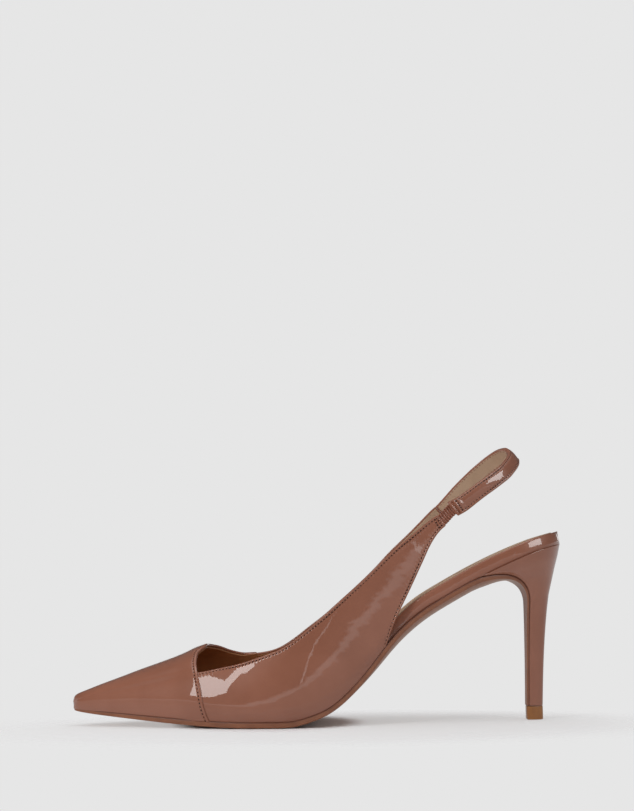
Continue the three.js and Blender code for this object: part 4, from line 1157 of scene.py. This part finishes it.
def make_strap():
    """Strap of patent leather with rolled, stitched edges and a crowned face, and its lining."""
    line = strap_path(STRAP_ROWS)
    path, _, across, outward = line
    run = arc_length(path)[:, None]
    share = np.linspace(0, 1, len(path))[:, None]
    inner_side = ease((share - 0.45) / 0.17) * (1 - ease((share - 0.9) / 0.1))
    width = mix(STRAP_END_WIDTH, STRAP_WIDTH, ease(run / 15))
    half = mix(width, STRAP_INNER_WIDTH, inner_side) / 2
    # The strap starts rounded, and its face stands highest above its middle.
    start_round = np.sqrt(np.clip(1 - np.clip(1 - run / 0.5, 0, 1) ** 2, 0.02, 1))
    edge = np.concatenate([EDGE_STEPS, [3.0], EDGE_STEPS[::-1]])
    sign = np.concatenate([-np.ones(len(EDGE_STEPS)), [0.0], np.ones(len(EDGE_STEPS))])
    x = sign * (half - edge)
    distance = half - np.abs(x)
    relief = seam_relief(distance, run) * ease(run - 1) + end_relief(run) * ease(distance / 0.8)
    crown = STRAP_CROWN * (1 - (x / half) ** 2) * (1 + 0.7 * x / half)
    rolled = roll(distance, STRAP_ROLL)
    face = STRAP_THICKNESS / 2 + crown + relief - rolled
    inside = -STRAP_THICKNESS / 2 + rolled - DOUBLED_BACK * doubled(run)
    rings = band(line, x * mix(0.92, 1, start_round), face * start_round, inside * start_round)
    build("strap_leather", tube(rings), patent, ("sling_strap",))
    count = x.shape[1]
    begin = np.flatnonzero(run[:, 0] > 3.4)[0]
    for row in (STITCH_STEP, count - 1 - STITCH_STEP):
        sew(rings[begin:-4, row], outward[begin:-4], start=0.2)
    station = np.argmin(np.abs(run[:, 0] - STRAP_TACK_ROW))
    rows = slice(STITCH_STEP, count - STITCH_STEP)
    normals = np.repeat(outward[station][None], count - 2 * STITCH_STEP, axis=0)
    sew(rings[station, rows], normals, pitch=TACK_PITCH, start=0.6, finish=0.6)
    lining_half = half - LINING_INSET
    lining_x = STRAP_LINING_SHARES * lining_half
    from_edge = lining_half - np.abs(lining_x)
    outer_face = np.full(from_edge.shape, STRAP_LINING_OUTSIDE)
    inner_line = -STRAP_THICKNESS / 2 - STRAP_LINING_DEPTH
    inner_face = inner_line + roll(from_edge, STRAP_LINING_ROLL) - DOUBLED_BACK * doubled(run)
    sheet = band(line, lining_x, outer_face, inner_face)
    build("strap_lining", tube(sheet[3:-2]), lining, ("sling_strap",))
    for side in (-1, 1):
        row = path + across * (side * (half - STITCH_INSET - 0.1)) + outward * inner_line
        sew(row[14:-4], -outward[14:-4], start=0.2, pierced=False)


def make_gore():
    """Gathered elastic: a band with pleats across it and two rows that hold them."""
    middle, across, ahead = outer_end
    outward = unit(np.cross(ahead, across))
    rows, around = 190, 64
    run = np.linspace(-GORE_TUCKED[0], GORE_LENGTH + GORE_TUCKED[1], rows)[:, None]
    turn = np.linspace(0, 2 * np.pi, around, endpoint=False)[None]
    x = np.sign(np.cos(turn)) * np.abs(np.cos(turn)) ** 0.35
    y = np.sign(np.sin(turn)) * np.abs(np.sin(turn)) ** 0.5
    wander = 0.1 * np.sin(5 * x + 1.3) + 0.07 * np.sin(9 * x + 2 * run)
    phase = 2 * np.pi * (run / GORE_LENGTH * GORE_PLEATS + wander)
    pleat = 0.5 + 0.5 * np.cos(phase)
    hold = 1 - 0.45 * (bell(x - 0.36, 0.12) + bell(x + 0.36, 0.12))
    width = GORE_WIDTH / 2 - 0.22 * (1 - pleat)
    thickness = GORE_THICKNESS / 2 * (0.22 + 0.92 * pleat**0.8 * hold)
    rise = STRAP_STEP * ease(run / GORE_LENGTH)
    points = (
        middle
        + ahead * run[..., None]
        + across * (x * width + rise)[..., None]
        + outward * (y * thickness)[..., None]
    )
    build("gathered_gore", tube(points), elastic, ("elastic_gore",))


make_strap()
make_gore()


# Footbed, sock, sole and heel.

BREAST_FRONT = LENGTH - BREAST_SETBACK
WEDGE_START = LENGTH - WEDGE_RUN
STEM_FOOT = TIP_HEIGHT + SOLE_GAP
INSOLE_START = INSOLE_SETBACK + UPPER_WALL


def insole_half(s, side, inset):
    """Half width of the insole: inside the wall in front, out to the sole's edge at the seat."""
    within = mix(UPPER_WALL + FEATHER_INSET + 0.1, FEATHER_INSET, ease((s / LENGTH - 0.66) / 0.1))
    front = rounded(s - INSOLE_START - inset, NOSE_RADIUS)
    flat = np.maximum(0, blunt_width(s, side) - within - inset)
    return flat * front * seat_round(LENGTH - s - inset)


def insole_depth(s):
    """Thickness of the wrapped board, from the forepart to the seat."""
    return mix(INSOLE_FOREPART, INSOLE_SEAT, ease((s / LENGTH - 0.5) / 0.24))


def sheet_rings(inset, lift, depth, rounding, count, face_points=26):
    """Rings of a sheet along the insole, with an upper edge rolled over a quarter of an oval.
    Lift and depth are functions of s, and rounding the oval's half width and height."""
    radius, rise = rounding
    turn = (1 - np.cos(np.linspace(0, np.pi, count))) / 2
    s = mix(INSOLE_START + inset, LENGTH - inset, turn)[:, None]
    normal = unit(np.concatenate([-feather_slope(s), np.ones_like(s)], axis=1))
    arc = np.linspace(0, np.pi / 2, 13)[None]
    halves = {side: insole_half(s, side, inset) for side in (-1, 1)}
    roll_radius = np.minimum(radius, np.minimum(halves[-1], halves[1]) * 0.5)
    face = np.linspace(-1, 1, face_points)[None, 1:-1]
    top = depth(s)
    wall_x = {side: halves[side] - roll_radius * (1 - np.cos(arc)) for side in (-1, 1)}
    wall_y = top - np.minimum(rise, 0.8 * top) * roll_radius / radius * (1 - np.sin(arc))
    face_x = spread(face, halves, roll_radius)
    under_x = spread(face, halves)
    x = [-halves[-1], -wall_x[-1], face_x, wall_x[1][:, ::-1], halves[1], under_x[:, ::-1]]
    y = [0 * s, wall_y, top + 0 * face, wall_y[:, ::-1], 0 * s, 0 * face + 0 * s]
    x, y = np.concatenate(x, axis=1), np.concatenate(y, axis=1)
    y = y * (1 - SEAT_TILT * np.maximum(0, x) / top) + lift(s)
    return np.stack([s - CENTRE + normal[:, :1] * y, x, feather(s) + normal[:, 1:] * y], -1)


def make_footbed():
    """Wrapped board under the foot, and the leather sock on it."""
    board = sheet_rings(
        0, lambda s: 0 * s - BOARD_SINK, insole_depth, INSOLE_ROLL, FOOTBED_ROWS
    )
    build("wrapped_footbed", tube(board), patent, ("insole",))
    sock = sheet_rings(
        SOCK_MARGIN, lambda s: insole_depth(s) - BOARD_SINK, lambda s: SOCK_THICKNESS + 0 * s,
        SOCK_ROLL, SOCK_ROWS,
    )
    build("leather_sock", tube(sock), lining, ("sock_lining",))


def breast_turn(t):
    """Turn of the breast away from the sole, in side view: a cubic curve with two handles, which
    starts along the feather line and ends along the stem."""
    slope = feather_slope(WEDGE_START)
    tangent = unit(np.array([1, float(slope)]))
    stem = unit(np.array([STEM_LEAN, KNEE_HEIGHT - STEM_FOOT]))
    start = np.array([WEDGE_START, float(feather(WEDGE_START))])
    knee = np.array([BREAST_FRONT, KNEE_HEIGHT])
    knots = (start, start + tangent * WEDGE_REACH, knee + stem * KNEE_REACH, knee)
    t = np.asarray(t)[..., None]
    weights = ((1 - t) ** 3, 3 * t * (1 - t) ** 2, 3 * t**2 * (1 - t), t**3)
    return sum(w * k for w, k in zip(weights, knots))


def breast_point(down):
    """Place and height of the breast at a share of the way down: the turn, then the stem."""
    down = np.asarray(down, float)
    turn = breast_turn(mix(WEDGE_TIP, 1, np.clip(down / KNEE_SHARE, 0, 1)))
    fall = np.clip((down - KNEE_SHARE) / (1 - KNEE_SHARE), 0, 1)
    stem = np.stack([BREAST_FRONT - STEM_LEAN * fall, mix(KNEE_HEIGHT, STEM_FOOT, fall)], -1)
    return np.where((down <= KNEE_SHARE)[..., None], turn, stem)


flare = smooth(FLARE)
setback = smooth(HEEL_BACK)
# Shares from the breast to the back of the heel, closer together towards the back.
CROWDED = np.sin(np.linspace(0, 1, 40) * np.pi / 2)


def d_share(back):
    """Share of the stem's width from its breast to its back, an oval of a higher power."""
    return (1 - back**D_POWER) ** (1 / D_POWER)


def heel_width(down, back, side):
    """Half width of the heel, at a share of the way from its breast to its back: the seat's
    outline on top, which turns into the D of the stem."""
    front = breast_point(0.0)[0]
    seat = outline(mix(front, LENGTH - TIP_SETBACK * setback(0.0), back), side)
    widest = blunt_width(LENGTH, side)
    profile = mix(seat / widest, d_share(back), ease(down / KNEE_SHARE))
    return mix(TIP_WIDTH / 2, widest, flare(down)) * profile


def two_sided(s, z, halves):
    """Rings from rows of places and heights, out along the outer side and back on the inner."""
    sides = [np.stack([s - CENTRE, side * halves[side], z], -1) for side in (-1, 1)]
    return np.concatenate([sides[0], sides[1][:, ::-1]], axis=1)


def make_heel():
    """Covered heel: rows from the breast to the back, which follow the seat on top and lie level
    in the stem."""
    down = np.linspace(0, 1, 150)[:, None]
    front = breast_point(down[:, 0])
    knee_back = KNEE_HEIGHT + KNEE_ROW_RISE
    top_back = float(feather(LENGTH)) - HEEL_UNDER
    upper = mix(top_back, knee_back, down / KNEE_SHARE)
    fall = (down - KNEE_SHARE) / (1 - KNEE_SHARE)
    lower = mix(knee_back, STEM_FOOT - STEM_OVERLAP, fall)
    back_z = np.where(down <= KNEE_SHARE, upper, lower)
    back_s = LENGTH - TIP_SETBACK * setback(down)
    share = CROWDED[None]
    s = mix(front[:, :1], back_s, share)
    z = mix(front[:, 1:], back_z, share)
    seat_front = breast_point(0.0)
    seat_at = mix(seat_front[0], LENGTH - TIP_SETBACK * setback(0.0), share)
    ruled = mix(seat_front[1], top_back, share)
    follow = np.maximum(0, 1 - down / KNEE_SHARE) ** mix(40, 3, ease(share / 0.3))
    z = z + (feather(seat_at) - HEEL_UNDER - ruled) * follow
    corner = 1 - 0.1 * np.clip(1 - share / 0.12, 0, 1) ** 2
    halves = {side: heel_width(down, share + 0 * down, side) * corner for side in (-1, 1)}
    rings = two_sided(s, z, halves)
    build("covered_heel", tube(rings), patent, ("heel",), grain=1e-4)


def on_both(sole, breast):
    """Column of values along the sole and on down the breast."""
    return np.concatenate([sole, breast])[:, None]


def make_outsole():
    """Outsole along the feather line and down the breast, with a rounded edge and underside."""
    s = WEDGE_START * np.linspace(0, 1, 240) ** 1.25
    waist = ease((s / LENGTH - 0.44) / 0.14)
    full = mix(SOLE_TIP, SOLE_EDGE, np.sqrt(np.minimum(1, s / SOLE_THINNED)))
    at = np.stack([s, feather(s)], -1)
    normal = unit(np.stack([feather_slope(s), -np.ones_like(s)], -1))
    down = np.linspace(0, 1, 130)
    fall = breast_point(down)
    below = breast_point(np.minimum(1, down + 0.01))
    above = breast_point(np.maximum(0, down - 0.01))
    tangent = unit(below - above)
    thin = ease(down / KNEE_SHARE)
    at = np.concatenate([at, fall])
    normal = np.concatenate([normal, np.stack([tangent[:, 1], -tangent[:, 0]], -1)])
    edge = on_both(mix(full, WAIST_EDGE, waist), mix(WAIST_EDGE, FLAP_THICKNESS, thin))
    bulge = on_both(ease((s / LENGTH - 0.5) / 0.18), 1 - ease(down / (0.65 * KNEE_SHARE)))
    crown = WAIST_CROWN * bulge
    widths = {
        side: on_both(outline(s, side), heel_width(down, 0 * down, side)) for side in (-1, 1)
    }
    rounding = on_both(mix(0.5, 1.5, waist), mix(1.5, 0.2, thin))
    within_edge = np.minimum(rounding, edge * mix(0.45, 0.75, crown / WAIST_CROWN))
    bevel = np.minimum(within_edge, widths[-1] / 3 + 1e-6)
    arc = np.linspace(0, np.pi / 2, 7)[None]
    across = np.linspace(-1, 1, 33)[None, 1:-1]
    xs, ys = [], []
    for side in (-1, 1):
        x = side * (widths[side] - bevel * (1 - np.cos(arc)))
        y = edge - bevel * (1 - np.sin(arc))
        order = slice(None) if side < 0 else slice(None, None, -1)
        xs.append(x[:, order])
        ys.append(y[:, order])
    face_x = spread(across, widths, bevel)
    face_y = edge + crown * (1 - np.abs(across) ** 3)
    top_x = spread(across, widths)[:, ::-1]
    crease = CREASE_SHARE * edge
    left, right = -widths[-1], widths[1]
    x = np.concatenate([left, left, xs[0], face_x, xs[1], right, right, top_x], axis=1)
    y = [0 * edge, crease, ys[0], face_y, ys[1], crease, 0 * edge, 0 * top_x]
    y = np.concatenate(y, axis=1)
    # The underside is painted palest along its middle, which faces the floor: partly its own bare
    # tone, partly painted reflection of the floor.
    pale = on_both(1 + 0 * s, 1 - ease((down - 0.5 * KNEE_SHARE) / (0.4 * KNEE_SHARE)))
    middle = ease((1 - np.abs(across)) / mix(0.12, 0.4, crown / WAIST_CROWN))
    # Ink on the top of the edge, whose dark tone also paints the shade of the crease under the
    # upper.
    ink_and_crease_shade, bare = 0 * edge - 1, 0 * edge
    marks = [ink_and_crease_shade, bare, 0 * ys[0], middle * pale, 0 * ys[1], bare, ink_and_crease_shade, 0 * top_x - 1]
    depth = np.where(y > 0, y + SOLE_GAP * 0.9, -0.25)
    rings = np.stack(
        [at[:, :1] + normal[:, :1] * depth - CENTRE, x, at[:, 1:] + normal[:, 1:] * depth], -1
    )
    build(
        "trimmed_sole", tube(rings), sole_finish, ("outsole",),
        np.concatenate(marks, axis=1), grain=1e-4,
    )


def make_top_piece():
    """Top piece under the heel: a D with rolled edges above and below."""
    back = LENGTH - TIP_SETBACK
    front = back - TIP_LENGTH
    height = np.concatenate([[0, 0.06, 0.2, 0.4], np.linspace(0.6, TIP_HEIGHT - 0.3, 12)])
    height = np.concatenate([height, TIP_HEIGHT - np.array([0.15, 0.05, 0])])
    edge = np.minimum(height, TIP_HEIGHT - height)
    inset = roll(edge, TIP_ROLL)[:, None]
    half = (TIP_WIDTH / 2 - inset) * d_share(CROWDED)
    s = mix(front + inset, back - inset, CROWDED)
    rings = two_sided(s, height[:, None] + 0 * s, {-1: half, 1: half})
    build("heel_top_piece", tube(rings), rubber, ("top_piece",), grain=1e-4)


make_footbed()
make_heel()
make_outsole()
make_top_piece()
make_stitches()


# Camera, floor and light.

camera_data = bpy.data.cameras.new("camera")
camera_data.lens = CAMERA_LENS
camera_data.sensor_width = CAMERA_SENSOR
camera = bpy.data.objects.new("camera", camera_data)
bpy.context.scene.collection.objects.link(camera)
right = Vector((1, 0, 0))
up = Vector((0, -math.sin(CAMERA_TILT), math.cos(CAMERA_TILT)))
forward = Vector((0, math.cos(CAMERA_TILT), math.sin(CAMERA_TILT)))
turned_right = right * math.cos(CAMERA_ROLL) - up * math.sin(CAMERA_ROLL)
turned_up = right * math.sin(CAMERA_ROLL) + up * math.cos(CAMERA_ROLL)
camera.matrix_world = Matrix.Translation(CAMERA_AT) @ Matrix(
    (turned_right, turned_up, -forward)
).transposed().to_4x4()
bpy.context.scene.camera = camera
bpy.context.scene.view_settings.view_transform = "Standard"
bpy.context.scene.view_settings.look = "None"


def greys(world, height, stops):
    """Slightly rosy greys over the height of a direction."""
    return ramp(world, height, [(at, (grey, grey * 0.985, grey * 0.99, 1)) for at, grey in stops])


def choose(world, share, first, second):
    """The first shader where the share is 0 and the second where it is 1."""
    return add_node(world, "ShaderNodeMixShader", {0: share, 1: first, 2: second}).outputs[0]


def make_world():
    """Studio: a plain backdrop for the camera, an even glow for matte surfaces, and for
    reflections a pale floor with a dark room above it and a pale ceiling."""
    world = bpy.data.worlds.new("studio")
    world.use_nodes = True
    bpy.context.scene.world = world
    world.node_tree.nodes.clear()
    place = add_node(world, "ShaderNodeTexCoord").outputs["Generated"]
    rise = add_node(world, "ShaderNodeSeparateXYZ", {0: place}).outputs["Z"]
    height = add_node(
        world, "ShaderNodeMapRange", {"Value": rise, "From Min": -1, "From Max": 1}
    ).outputs[0]
    mirrored, glow, seen = (
        add_node(world, "ShaderNodeBackground", {"Color": colour}).outputs[0]
        for colour in (greys(world, height, ROOM), greys(world, height, GLOW), srgb(*BACKDROP))
    )
    path = add_node(world, "ShaderNodeLightPath").outputs
    unseen = choose(world, path["Is Glossy Ray"], glow, mirrored)
    choice = choose(world, path["Is Camera Ray"], unseen, seen)
    add_node(world, "ShaderNodeOutputWorld", {0: choice})


def softbox(name, at, towards, size, power, in_gloss, on_matte):
    """Rectangular area light at a place, turned towards another; size is width and height."""
    light = bpy.data.lights.new(name, "AREA")
    light.shape = "RECTANGLE"
    light.size, light.size_y = size
    light.energy = power
    lamp = bpy.data.objects.new(name, light)
    bpy.context.scene.collection.objects.link(lamp)
    lamp.location = at
    direction = Vector(towards) - Vector(at)
    lamp.rotation_mode = "QUATERNION"
    lamp.rotation_quaternion = direction.to_track_quat("-Z", "Y")
    lamp.visible_glossy = in_gloss
    lamp.visible_diffuse = on_matte


def seen_from(centre, azimuth, height, distance):
    """Place at a distance from a centre, azimuth in degrees from the front towards the heel."""
    turn, up = math.radians(azimuth), math.radians(height)
    return (
        centre[0] + distance * math.sin(turn) * math.cos(up),
        centre[1] - distance * math.cos(turn) * math.cos(up),
        centre[2] + distance * math.sin(up),
    )


# Lamps: name, place, what it is turned to, width and height, power in watts, whether glossy
# surfaces show it and whether matte ones do.
LAMPS = [
    ("overhead", (0, 0.1, 1.5), MIDDLE, (1.8, 1.4), 2.8, False, True),
    ("top_strip", (0, -0.3, 1.4), MIDDLE, (1.2, 0.4), 3.0, True, True),
    ("window", seen_from(TOE, -41.2, 33.2, 0.75), TOE, (0.165, 0.45), 1.6, True, True),
    ("side_window", seen_from(HEEL, 54, 31, 0.9), HEEL, (0.52, 0.4), 4.4, True, False),
    ("slit", seen_from(WAIST, 9, 12, 1.5), WAIST, (0.028, 0.25), 0.038, True, False),
]


def ellipse_fade(material, centre, radii, shares, past):
    """1 inside an ellipse on the floor, eased to another value between two shares of its radii."""
    place = add_node(material, "ShaderNodeTexCoord").outputs["Object"]
    stretch = (1 / radii[0], 1 / radii[1], 0)
    moved = add_node(
        material, "ShaderNodeVectorMath", {0: place, 1: centre}, operation="SUBTRACT"
    ).outputs["Vector"]
    scaled = add_node(
        material, "ShaderNodeVectorMath", {0: moved, 1: stretch}, operation="MULTIPLY"
    ).outputs["Vector"]
    distance = add_node(
        material, "ShaderNodeVectorMath", {0: scaled}, operation="LENGTH"
    ).outputs["Value"]
    limits = {"From Min": shares[0], "From Max": shares[1], "To Min": 1.0, "To Max": past}
    return add_node(
        material, "ShaderNodeMapRange", {"Value": distance, **limits},
        interpolation_type="SMOOTHSTEP",
    ).outputs[0]


def make_floor():
    """Floor that fades into the backdrop away from the shoe."""
    mesh = bpy.data.meshes.new("floor")
    corners = ((-1, -1), (1, -1), (1, 1), (-1, 1))
    places = [(x * FLOOR_HALF, y * FLOOR_HALF, -FLOOR_DROP) for x, y in corners]
    mesh.from_pydata(places, [], [(0, 1, 2, 3)])
    floor = bpy.data.objects.new("floor", mesh)
    bpy.context.scene.collection.objects.link(floor)
    finish, shader = new_material(
        "pale_floor", Base_Color=FLOOR_TONE, Roughness=0.7, Specular_IOR_Level=0.0
    )
    fades = {n: ellipse_fade(finish, *fade) for n, fade in enumerate((FLOOR_FADE, CONTACT_FADE))}
    cover = add_node(finish, "ShaderNodeMath", fades, operation="MULTIPLY")
    finish.node_tree.links.new(cover.outputs[0], shader.inputs["Alpha"])
    mesh.materials.append(finish)


make_world()
for lamp in LAMPS:
    softbox(*lamp)
make_floor()
